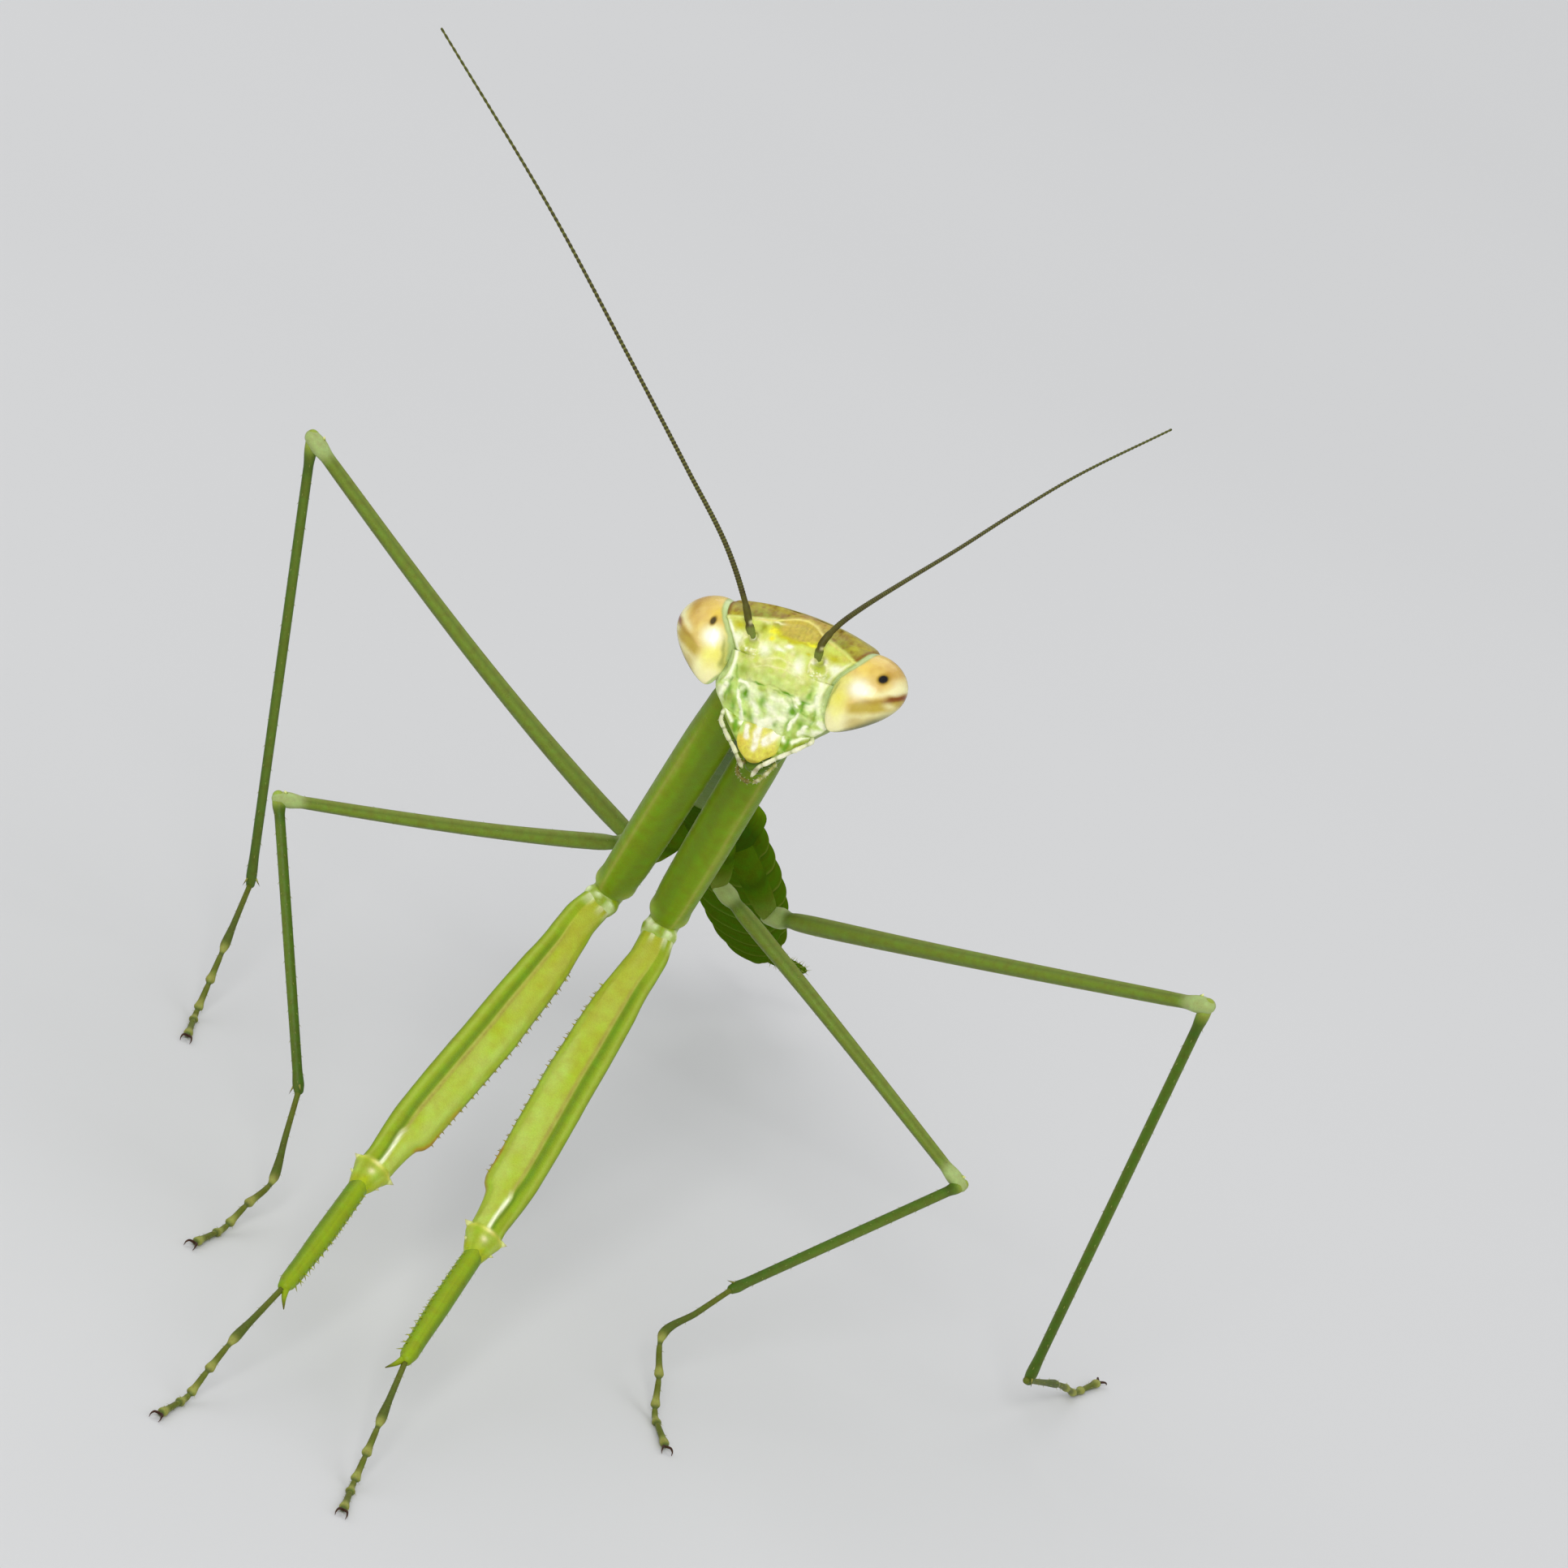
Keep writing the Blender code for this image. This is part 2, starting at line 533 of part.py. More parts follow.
def make_mid_leg(side_name, side, pose, mesothorax):
    """Middle leg, which leaves the body under the mesothorax."""
    knot = Vector(pose["knot"])
    knee = knot + aim(*pose["femur"]) * MID_FEMUR
    ankle = knee + aim(*pose["tibia"]) * MID_TIBIA
    joint = ankle + aim(*pose["basitarsus"]) * MID_BASITARSUS
    tip = joint + aim(*pose["toes"]) * MID_TOES
    start = trunk_path()[1] + aim(HIND_BODY_AZIMUTH, PTEROTHORAX_PITCH) * 1.2
    root = start + Vector((0.45 * side, 0.0, -0.45))
    walking_leg("mid", side_name, root, knot, knee, ankle, joint, tip, mesothorax)


def make_hind_leg(side_name, side, pose, metathorax):
    """Hind leg, the longest, which leaves the body under the metathorax."""
    knot = Vector(pose["knot"])
    knee = knot + aim(*pose["femur"]) * HIND_FEMUR
    ankle = knee + aim(*pose["tibia"]) * HIND_TIBIA
    tip = ankle + aim(*pose["tarsus"]) * HIND_TARSUS
    joint = ankle + (tip - ankle) * 0.42
    start = trunk_path()[1] + aim(HIND_BODY_AZIMUTH, PTEROTHORAX_PITCH) * 3.4
    root = start + Vector((0.5 * side, 0.0, -0.45))
    walking_leg("hind", side_name, root, knot, knee, ankle, joint, tip, metathorax)


def bring_to_metres():
    """Centres the animal over the origin and scales every finished piece from millimetres to metres."""
    for piece in bpy.context.scene.objects:
        piece.data.transform(Matrix.Scale(MM, 4) @ Matrix.Translation(GROUND_SHIFT))


def main():
    """Builds the whole animal."""
    for old in list(bpy.data.objects):
        bpy.data.objects.remove(old)
    frame = head_frame()
    head = make_head(frame)
    make_mouthparts(frame, head)
    for side_name, side in SIDES.items():
        make_eye("eye_" + side_name, side, frame, head)
        make_antenna("antenna_" + side_name, ANTENNA_LINE[side_name], frame, head)
    trunk = make_trunk(head)
    for side_name, side in SIDES.items():
        make_fore_leg(side_name, side, FORE_POSE[side_name], trunk["prothorax"])
        make_mid_leg(side_name, side, MID_POSE[side_name], trunk["mesothorax"])
        make_hind_leg(side_name, side, HIND_POSE[side_name], trunk["metathorax"])
    bring_to_metres()


main()
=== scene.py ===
# %% [markdown]
# # A young praying mantis, life size
# This lesson rebuilds a wingless young mantis, about 30 mm long, standing on six feet with its grasping legs
# stretched out in front. An insect has no skin and no bones: it wears hard plates and tubes of cuticle that
# overlap at thin joints. So the model is made of closed plates and tubes too, one for each real part, and
# each one reaches a little way into the next, as the real ones do, so that no gap shows.
#
# The solids of the imported model are loaded first. They stay where they are, and every new piece hides
# the ones that it stands for.

# %% Load the imported model as a fixed frame
import math

import bpy
import numpy as np
from mathutils import Matrix, Vector


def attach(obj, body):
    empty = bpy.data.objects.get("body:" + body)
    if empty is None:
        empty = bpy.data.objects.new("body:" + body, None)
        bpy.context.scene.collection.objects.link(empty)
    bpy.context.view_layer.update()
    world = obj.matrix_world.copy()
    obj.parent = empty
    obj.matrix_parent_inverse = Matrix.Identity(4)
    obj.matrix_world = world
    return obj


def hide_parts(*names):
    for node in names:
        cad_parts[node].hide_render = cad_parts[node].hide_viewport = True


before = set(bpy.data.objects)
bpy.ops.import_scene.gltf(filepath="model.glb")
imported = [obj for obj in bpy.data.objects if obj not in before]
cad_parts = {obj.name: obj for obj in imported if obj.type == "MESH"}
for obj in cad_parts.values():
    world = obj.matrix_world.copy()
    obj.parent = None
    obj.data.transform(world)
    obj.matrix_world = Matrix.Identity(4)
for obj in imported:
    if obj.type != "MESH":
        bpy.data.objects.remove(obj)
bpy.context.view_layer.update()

# %% [markdown]
# ## Numbers and small tools
# Everything is drawn in millimetres, in the drawing's own frame: the animal faces -Y, +Z is up and its left
# side is +X. At the end each piece is moved over the origin and scaled to metres.
#
# A shape is a table of a few measured rows, read at many places along a smooth curve. The curve goes through
# every row and never overshoots, so a waist stays a waist.

# %% Directions and smooth tables
MM = 0.001
OVER_ORIGIN = np.array([-0.07, -0.24, 0.0])
SIDES = {"right": -1.0, "left": 1.0}


def aim(azimuth, pitch):
    """Unit vector at an azimuth from straight ahead towards the animal's left, and a pitch above level."""
    turn, rise = math.radians(azimuth), math.radians(pitch)
    return np.array([math.sin(turn) * math.cos(rise), -math.cos(turn) * math.cos(rise), math.sin(rise)])


def unit(vectors):
    """Each vector divided by its own length."""
    return vectors / np.linalg.norm(vectors, axis=-1, keepdims=True)


def between(rows, where):
    """Reads a table of (place, value, value, ...) at any places.

    Between two rows the value is a cubic. Its slope at a row is the harmonic mean of the slopes on both
    sides, or nothing where they have opposite signs.
    """
    table = np.array(rows, dtype=float)
    x, y = table[:, 0], table[:, 1:]
    gap = np.diff(x)[:, None]
    slope = np.diff(y, axis=0) / gap
    product, total = slope[:-1] * slope[1:], slope[:-1] + slope[1:]
    middle = np.where(product > 0, 2 * product / np.where(total == 0, 1, total), 0)
    bend = np.vstack([slope[:1], middle, slope[-1:]])
    where = np.asarray(where, dtype=float)
    i = np.clip(np.searchsorted(x, where) - 1, 0, len(x) - 2)
    t = np.clip((where - x[i]) / gap[i, 0], 0, 1)[..., None]
    return (y[i] * (1 + 2 * t) * (1 - t) ** 2 + y[i + 1] * (3 - 2 * t) * t ** 2
            + gap[i] * t * (1 - t) * (bend[i] * (1 - t) - bend[i + 1] * t))


def ramp(value, low, high):
    """0 below low, 1 above high, and a smooth S between them."""
    t = np.clip((value - low) / (high - low), 0, 1)
    return t * t * (3 - 2 * t)


def bump(distance, width):
    """A bell: 1 at distance 0, a third at one width."""
    return np.exp(-(distance / width) ** 2)


def cloud(u, v, size, seed):
    """Smooth noise between -1 and 1: random heights at the corners of a square net, eased between them."""
    net = np.random.default_rng(seed).uniform(-1, 1, (64, 64))
    u, v = np.asarray(u) / size + 200.5, np.asarray(v) / size + 200.5
    i, j = np.floor(u).astype(int), np.floor(v).astype(int)
    s, t = ramp(u - i, 0, 1), ramp(v - j, 0, 1)
    corner = lambda di, dj: net[(i + di) % 64, (j + dj) % 64]
    return ((corner(0, 0) * (1 - s) + corner(1, 0) * s) * (1 - t)
            + (corner(0, 1) * (1 - s) + corner(1, 1) * s) * t)


print("halfway down a ramp:", ramp(0.5, 0, 1))

# %% [markdown]
# ## Colours of the animal
# The cuticle is nearly clear and its colour lies in and under it, so it changes softly along a plate. That is
# why the colours are carried by the mesh itself, as one colour for each point, worked out from the shape. The
# material then adds the fine mottling. Swatches are given as screen colours and turned to light values.

# %% Swatches
SWATCH = {
    "leaf": (108, 135, 8), "leaf_dark": (70, 96, 4), "leaf_light": (140, 162, 44), "mint": (176, 192, 88),
    "lime": (166, 181, 46), "lemon": (222, 214, 100), "tan": (170, 166, 84), "tan_dark": (148, 134, 50),
    "cream": (240, 234, 176), "ivory": (252, 248, 222), "turquoise": (190, 206, 140), "olive": (82, 106, 10),
    "olive_dark": (60, 80, 4), "olive_grey": (122, 134, 66), "straw": (156, 158, 84), "horn": (96, 104, 36),
    "vertex": (172, 160, 60), "vertex_brown": (138, 104, 34), "vertex_green": (150, 152, 58),
    "vertex_pink": (188, 158, 84), "ridge": (228, 216, 122), "face": (212, 220, 108),
    "shield": (204, 214, 116), "cheek": (196, 220, 122), "forest": (110, 160, 30), "crescent": (200, 180, 78),
    "crescent_green": (156, 160, 24), "saffron": (196, 190, 40), "bright_yellow": (240, 234, 60),
    "rim": (194, 211, 148), "rim_grey": (162, 178, 108), "white": (246, 249, 212), "peach": (228, 200, 112),
    "amber": (232, 204, 90), "eye_yellow": (236, 230, 128), "eye_pink": (204, 166, 84),
    "eye_olive": (190, 168, 70), "eye_brown": (168, 138, 52), "eye_red": (136, 84, 28), "pupil": (34, 24, 10),
    "feeler": (88, 84, 26), "feeler_dark": (58, 58, 10), "claw": (70, 52, 22), "lip": (219, 209, 92),
    "lip_orange": (224, 200, 80), "lip_brown": (160, 146, 16), "palp": (224, 224, 186),
    "palp_dark": (112, 100, 50),
}
FILM, DARKEST = 0.022, 0.003


def linear(colour):
    """Light values of a screen colour: a power of 2.4 above the darkest tones.

    The varnish adds a film of white light to every tone, so that film is taken off first.
    """
    c = np.array(colour, dtype=float) / 255
    light = np.where(c < 0.04045, c / 12.92, ((c + 0.055) / 1.055) ** 2.4)
    return np.maximum(light - FILM, DARKEST) / (1 - 4 * FILM)


TINT = {name: linear(colour) for name, colour in SWATCH.items()}


def paint(tones, name, share):
    """Blends a swatch over the tones, by a share between 0 and 1 at each point."""
    return tones + (TINT[name] - tones) * np.clip(share, 0, 1)[..., None]


def plain(shape, name):
    """One swatch all over a grid of the given shape."""
    return np.broadcast_to(TINT[name], (*shape, 3)).copy()


print(len(TINT), "swatches")

# %% [markdown]
# ## From a grid to a closed skin
# A plate or tube is a grid: rows along it, points around it. Neighbouring points make four-sided faces, and a
# fan of triangles closes each end. The volume of the skin tells which way it faces: it is the sum over all
# triangles of the boxes that they span with the middle, and if it is negative the faces are turned round.

# %% Closed skins, and spines that grow from them
def turned_out(points, faces):
    """The faces, turned round if the volume that they close is negative."""
    a, b, c = (points[faces[:, k]] - points.mean(0) for k in range(3))
    volume = np.einsum("ij,ij->i", a, np.cross(b, c)).sum()
    return faces[:, ::-1] if volume < 0 else faces


def skin(grid, tones):
    """Points, faces and tones of a closed skin from a grid of rows by points around."""
    rows, around, _ = grid.shape
    points = np.concatenate([grid.reshape(-1, 3), grid[:1].mean(1), grid[-1:].mean(1)])
    colours = np.concatenate([tones.reshape(-1, 3), tones[:1].mean(1), tones[-1:].mean(1)])
    i, j = np.meshgrid(np.arange(rows - 1), np.arange(around), indexing="ij")
    k = (j + 1) % around
    corners = [i * around + j, i * around + k, (i + 1) * around + k, (i + 1) * around + j]
    quads = np.stack(corners, -1).reshape(-1, 4)
    near, after = np.arange(around), (np.arange(around) + 1) % around
    first, last = np.full(around, rows * around), np.full(around, rows * around + 1)
    far = (rows - 1) * around
    fans = np.concatenate([np.stack([after, near, first], 1), np.stack([far + near, far + after, last], 1)])
    halves = np.concatenate([quads[:, [0, 1, 2]], quads[:, [0, 2, 3]], fans])
    flip = turned_out(points, halves)[0, 0] != halves[0, 0]
    return points, (quads[:, ::-1] if flip else quads), (fans[:, ::-1] if flip else fans), colours


def spines(roots, directions, lengths, radii, name, tip_name=None, sides=5):
    """Small cones. A ring of points around each root, square to its direction, is joined to one tip."""
    roots, directions = np.atleast_2d(roots), unit(np.atleast_2d(directions))
    count = len(roots)
    lengths, radii = np.broadcast_to(lengths, count), np.broadcast_to(radii, count)
    helper = np.where(np.abs(directions[:, 2:]) > 0.8, np.array([[1.0, 0, 0]]), np.array([[0, 0, 1.0]]))
    one = unit(np.cross(directions, helper))
    two = np.cross(directions, one)
    turn = np.arange(sides) * 2 * math.pi / sides
    ring = (roots[:, None] + (one[:, None] * np.cos(turn)[:, None] + two[:, None] * np.sin(turn)[:, None])
            * radii[:, None, None])
    tips = roots + directions * lengths[:, None]
    points = np.concatenate([ring, tips[:, None]], 1).reshape(-1, 3)
    k = np.arange(sides)
    cone = np.concatenate([np.stack([k, (k + 1) % sides, np.full(sides, sides)], 1),
                           np.stack([np.zeros(sides - 2, int), k[2:], k[1:-1]], 1)])
    faces = (cone[None] + (np.arange(count) * (sides + 1))[:, None, None]).reshape(-1, 3)
    tones = np.tile(TINT[name], (count, sides + 1, 1))
    tones[:, -1] = TINT[tip_name or name]
    return points, np.zeros((0, 4), int), faces, tones.reshape(-1, 3)


print("a cone has", len(spines([[0, 0, 0]], [[0, 0, 1]], 1, 0.2, "leaf")[2]), "triangles")

# %% [markdown]
# ## Into the scene
# A finished piece is one mesh: its closed skins are joined, moved over the origin and scaled to metres. Its
# colours go in as a colour attribute named "tone". Then the piece is told what it rides on, takes the
# material of its slot, and the solids that it stands for are hidden.

# %% Put a piece in place
MATERIAL = {}
triangles_in_all = 0


def put(name, skins, slot, nodes=None):
    """Joins closed skins into one mesh, which stands for the solid of its name or for the named ones."""
    global triangles_in_all
    points, quads, fans, tones, start = [], [], [], [], 0
    for p, q, f, t in skins:
        points.append(p)
        quads.append(q + start)
        fans.append(f + start)
        tones.append(t)
        start += len(p)
    points, quads, fans, tones = (np.concatenate(part) for part in (points, quads, fans, tones))
    mesh = bpy.data.meshes.new("mantis_" + name)
    mesh.vertices.add(len(points))
    mesh.vertices.foreach_set("co", ((points + OVER_ORIGIN) * MM).ravel())
    corners = np.concatenate([quads.ravel(), fans.ravel()])
    sizes = np.concatenate([np.full(len(quads), 4), np.full(len(fans), 3)])
    mesh.loops.add(len(corners))
    mesh.loops.foreach_set("vertex_index", corners)
    mesh.polygons.add(len(sizes))
    mesh.polygons.foreach_set("loop_start", np.concatenate([[0], np.cumsum(sizes)[:-1]]))
    mesh.polygons.foreach_set("loop_total", sizes)
    mesh.update(calc_edges=True)
    mesh.validate()
    colour = mesh.attributes.new("tone", "FLOAT_COLOR", "POINT")
    colour.data.foreach_set("color", np.column_stack([tones, np.ones(len(tones))]).ravel())
    mesh.shade_smooth()
    mesh.materials.append(MATERIAL[slot])
    piece = bpy.data.objects.new("mantis_" + name, mesh)
    bpy.context.scene.collection.objects.link(piece)
    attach(piece, "root")
    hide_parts(*(nodes or [name]))
    triangles = 2 * len(quads) + len(fans)
    triangles_in_all += triangles
    print(name, triangles, "triangles")


# %% [markdown]
# ## What cuticle looks like close up
# Cuticle is a smooth, slightly waxy varnish over coloured tissue. Close up it is never even: the colour is
# mottled in patches of a tenth of a millimetre, a fine grain of cells catches the light, and the gloss comes
# and goes. A little light also enters it and comes out softened.
#
# Each material therefore takes the painted tone, shifts its hue and brightness with one noise, its roughness
# with another, and adds a low bump from cells and grain. All of it reads Object coordinates, because the
# pieces sit at the origin, so the grain has one size on the whole animal.

# %% One recipe for every kind of cuticle
def fill(links, node, inputs):
    """Sets each named input of a node to its number, or links it to another node's output."""
    for name, value in inputs.items():
        if isinstance(value, bpy.types.NodeSocket):
            links.new(value, node.inputs[name])
        else:
            node.inputs[name].default_value = value


def cuticle(slot, mottle=0.1, patch=0.22, grain=0.035, relief=0.35,
            rough=0.42, glow=0.12, coat=0.0, gloss=0.3):
    """Makes the material of one slot. Patch and grain are sizes in millimetres."""
    material = bpy.data.materials.new(slot)
    material.use_nodes = True
    nodes, links = material.node_tree.nodes, material.node_tree.links

    def add(kind, output, inputs, **settings):
        """A new node with its inputs filled, given back as its output."""
        node = nodes.new("ShaderNode" + kind)
        for name, value in settings.items():
            setattr(node, name, value)
        fill(links, node, inputs)
        return node.outputs[output]

    place = add("TexCoord", "Object", {})
    tone = add("Attribute", "Color", {}, attribute_name="tone")

    def noise(size, detail):
        """Soft patches of a size in millimetres."""
        return add("TexNoise", "Fac", {"Scale": 1 / (size * MM), "Detail": detail, "Roughness": 0.55,
                                       "Vector": place})

    def spread(source, low, high):
        """The noise, whose values crowd around a half, stretched from low to high."""
        return add("MapRange", "Result", {"From Min": 0.3, "From Max": 0.7, "To Min": low, "To Max": high,
                                          "Value": source})

    def work(operation, one, two):
        """Two values multiplied or added."""
        return add("Math", "Value", {0: one, 1: two}, operation=operation)

    patches, fine = noise(patch, 4.0), noise(grain, 3.0)
    hue = spread(patches, 0.5 - 0.12 * mottle, 0.5 + 0.12 * mottle)
    speckle = work("MULTIPLY", spread(patches, 1 - mottle, 1 + mottle),
                   spread(fine, 1 - 0.5 * mottle, 1 + 0.5 * mottle))
    cells = add("TexVoronoi", "Distance", {"Scale": 1 / (grain * MM), "Vector": place})
    fill(links, nodes["Principled BSDF"], {
        "Base Color": add("HueSaturation", "Color", {"Color": tone, "Hue": hue, "Value": speckle}),
        "Roughness": spread(noise(patch * 0.6, 2.0), rough - 0.08, rough + 0.1),
        "Normal": add("Bump", "Normal", {"Strength": relief, "Distance": grain * MM * 0.3,
                                         "Height": work("ADD", cells, fine)}),
        "Subsurface Weight": glow, "Subsurface Radius": (1.0, 0.9, 0.35), "Subsurface Scale": 0.12 * MM,
        "Specular IOR Level": gloss, "Coat Weight": coat, "Coat Roughness": 0.08})
    MATERIAL[slot] = material


cuticle("face_cuticle", mottle=0.09, patch=0.1, grain=0.022, rough=0.36, coat=0.08)
cuticle("mouth_cuticle", mottle=0.1, patch=0.08, grain=0.02, relief=0.4, rough=0.36, coat=0.08)
cuticle("eye", mottle=0.05, patch=0.3, grain=0.02, relief=0.12, rough=0.24, glow=0.2, coat=0.35)
cuticle("feeler", mottle=0.18, patch=0.12, grain=0.02, relief=0.5, rough=0.5, glow=0.0)
cuticle("green_cuticle", mottle=0.12, patch=0.25, grain=0.03, relief=0.5, gloss=0.2)
cuticle("pale_cuticle", mottle=0.12, patch=0.1, grain=0.02, relief=0.4, rough=0.4)
cuticle("olive_cuticle", mottle=0.16, patch=0.3, relief=0.5, rough=0.48, gloss=0.0)
cuticle("leg_cuticle", mottle=0.14, patch=0.16, grain=0.025, relief=0.5, rough=0.45, gloss=0.2)
cuticle("foot_cuticle", mottle=0.16, patch=0.1, grain=0.02, relief=0.5, rough=0.5)
print(len(MATERIAL), "materials")

# %% [markdown]
# ## The head
# A mantis head is a wide flat triangle: its crown is a low ridge, its face a nearly flat shield, and the
# cheeks run down to the mouth. It could be sculpted, but its landmarks are few and can be measured, so the
# capsule is a stack of level ovals, and the landmarks are small heights and hollows added to its front.
#
# The head has its own axes: x to the animal's left, y backwards, z up, with the origin between the feelers.

# %% Where the head is and how it is turned
HEAD_CENTRE = np.array([-0.71, -7.6, 17.24])
HEAD_AZIMUTH, HEAD_PITCH, HEAD_LEAN = -20.0, 12.0, 10.0
EYE_CENTRE = np.array([1.73, -0.43, -0.33])
EYE_LONG, EYE_WIDE, EYE_DEEP = 0.91, 0.64, 0.52
EYE_LEAN, EYE_EGG, EYE_SWING = math.radians(24.1), 0.43, 0.31

forward = aim(HEAD_AZIMUTH, HEAD_PITCH)
level_across = unit(np.cross([0, 0, 1.0], forward))
level_up = np.cross(forward, level_across)
lean = math.radians(HEAD_LEAN)
HEAD_AXES = np.stack([level_across * math.cos(lean) + level_up * math.sin(lean), -forward,
                      level_up * math.cos(lean) - level_across * math.sin(lean)])


def on_head(points):
    """Moves points from the head's own axes to the drawing."""
    return HEAD_CENTRE + points @ HEAD_AXES


print("the face looks along", np.round(forward, 2))

# %% [markdown]
# Where an eye meets the face there is a pale rim, which leans outwards to the top. The eye is an egg with its
# thick end up, so the depth of its surface is known at every point of that rim. In its upper part the capsule
# is pulled to that depth along the rim and dips behind it. Lower down the egg rises out of the face by
# itself.

# %% Lines of the face, and the depth of an eye
# height, half width, reach to the face, reach to the back, and how far forward it is widest
CAPSULE = [(-1.8, 0.42, 0.38, 0.26, 0.15), (-1.72, 0.66, 0.48, 0.36, 0.25), (-1.6, 0.88, 0.56, 0.46, 0.35),
           (-1.42, 1.07, 0.64, 0.6, 0.42), (-1.22, 1.25, 0.7, 0.72, 0.42), (-0.95, 1.34, 0.75, 0.8, 0.42),
           (-0.55, 1.42, 0.78, 0.87, 0.22), (0.0, 1.6, 0.76, 0.93, 0.0), (0.3, 1.66, 0.63, 0.91, 0.0),
           (0.46, 1.66, 0.48, 0.86, 0.0), (0.59, 1.56, 0.29, 0.76, 0.0), (0.68, 1.24, 0.14, 0.62, 0.0),
           (0.765, 0.72, 0.03, 0.42, 0.0), (0.79, 0.3, -0.08, 0.3, 0.0)]
EYE_RIM = [(-1.35, 1.38), (-1.15, 1.27), (-0.96, 1.14), (-0.8, 1.06), (-0.55, 1.04), (-0.3, 1.085),
           (-0.1, 1.175), (0.1, 1.315), (0.3, 1.465), (0.5, 1.56), (0.9, 1.72)]
OVAL_POWER = 2.6


def eye_front(x, z):
    """How far back the front of an eye lies, at a place seen from the front.

    The place is turned into the egg's own axes. What is left of the unit sphere there, times the egg's
    depth, is how far the surface stands out, and the thick end swings back. Off the egg it is far back.
    """
    out, rise = x - EYE_CENTRE[0], z - EYE_CENTRE[2]
    wide = out * math.cos(EYE_LEAN) - rise * math.sin(EYE_LEAN)
    long = (out * math.sin(EYE_LEAN) + rise * math.cos(EYE_LEAN)) / EYE_LONG
    egg = 1 + EYE_EGG * long
    rest = 1 - long ** 2 - (wide / (EYE_WIDE * egg)) ** 2
    surface = EYE_CENTRE[1] + EYE_SWING * long - EYE_DEEP * egg * np.sqrt(np.maximum(rest, 0))
    return np.where(rest > 0, surface, 0.3)


CROWN_LINE = [(0.0, 0.7), (0.2, 0.665), (0.42, 0.575), (0.62, 0.495), (0.9, 0.42), (1.2, 0.34), (1.6, 0.22),
              (2.0, 0.1)]


def crown_line(x):
    """Height of the pale ridge that crosses the head above the feelers, with a soft peak in the middle."""
    return between(CROWN_LINE, np.abs(x - 0.04).ravel()).reshape(x.shape)


def near_line(x, z, corners, width):
    """A bell around a bent line: the nearest distance to any of its lengths, over the width."""
    best = np.full(x.shape, 9.0)
    for (ax, az), (bx, bz) in zip(corners, corners[1:]):
        run, rise = bx - ax, bz - az
        t = np.clip(((x - ax) * run + (z - az) * rise) / (run * run + rise * rise), 0, 1)
        best = np.minimum(best, np.hypot(x - ax - t * run, z - az - t * rise))
    return bump(best, width)


def near_spot(x, z, at, wide, high=None):
    """A bell around one place, wider than high where both are given."""
    return np.exp(-((x - at[0]) / wide) ** 2 - ((z - at[1]) / (high or wide)) ** 2)


print("eye rim at mid height:", between(EYE_RIM, 0.0)[0], "mm from the middle")

# %% Shape of the capsule
ROWS, AROUND = 280, 320
CHIN, CROWN_TOP = CAPSULE[0][0], CAPSULE[-1][0]
# the rows crowd a little towards both ends
step = 0.65 * np.linspace(0, 1, ROWS) + 0.35 * (1 - np.cos(np.linspace(0, math.pi, ROWS))) / 2
height = (CHIN + (CROWN_TOP - CHIN) * step)[:, None]
# two thirds of the points go round the front, where the detail is
share = np.arange(AROUND) / AROUND
turn = 2 * math.pi * share + 0.45 * np.sin(2 * math.pi * share) - math.pi
turn = np.sort((turn - math.pi / 2 + math.pi) % (2 * math.pi) - math.pi)[None, :]
cosine, sine = np.cos(turn), np.sin(turn)
half_wide, ahead_reach, back_reach, widest = between(CAPSULE, height[:, 0]).T[:, :, None]
x = np.sign(cosine) * np.abs(cosine) ** (2 / OVAL_POWER) * half_wide
depth = np.where(sine < 0, ahead_reach - widest, back_reach + widest)
y = np.sign(sine) * np.abs(sine) ** (2 / OVAL_POWER) * depth - widest
z = np.broadcast_to(height, x.shape).copy()
a = np.abs(x)
front = ramp(-sine, 0.02, 0.25) * np.ones_like(x)
rim = between(EYE_RIM, height[:, 0])
left_over = np.maximum(1 - (rim / np.maximum(half_wide, rim + 0.01)) ** OVAL_POWER, 0)
rim_flat = -widest - (ahead_reach - widest) * left_over ** (1 / OVAL_POWER)
wanted = eye_front(rim + 0.05, height)
pull = (np.where(wanted < 0.2, wanted - rim_flat, 0.0)
        * ramp(height, -0.75, -0.4) * (1 - ramp(height, 0.5, 0.7)))
inside = rim - a
y += front * pull * bump(inside, 0.3)
y += front * 0.05 * ramp(-inside, 0.03, 0.14) * ramp(height, -0.9, -0.7)
print("capsule", x.shape, "deepest pull", round(float(np.abs(pull).max()), 3), "mm")

# %% [markdown]
# ### Landmarks of the face
# From the top down: the crown ridge, two grooves on the crown, the sockets of the feelers, two arches over
# the shield, the shield with a crease below it, the cheeks with their seams, and the plate that carries the
# upper lip. Each is a line or a spot with a height. A living face is a crumpled translucent film, never a
# drawing, so every place is shifted a little by smooth noise before its landmarks are looked up, and the
# lower face also has shallow folds.

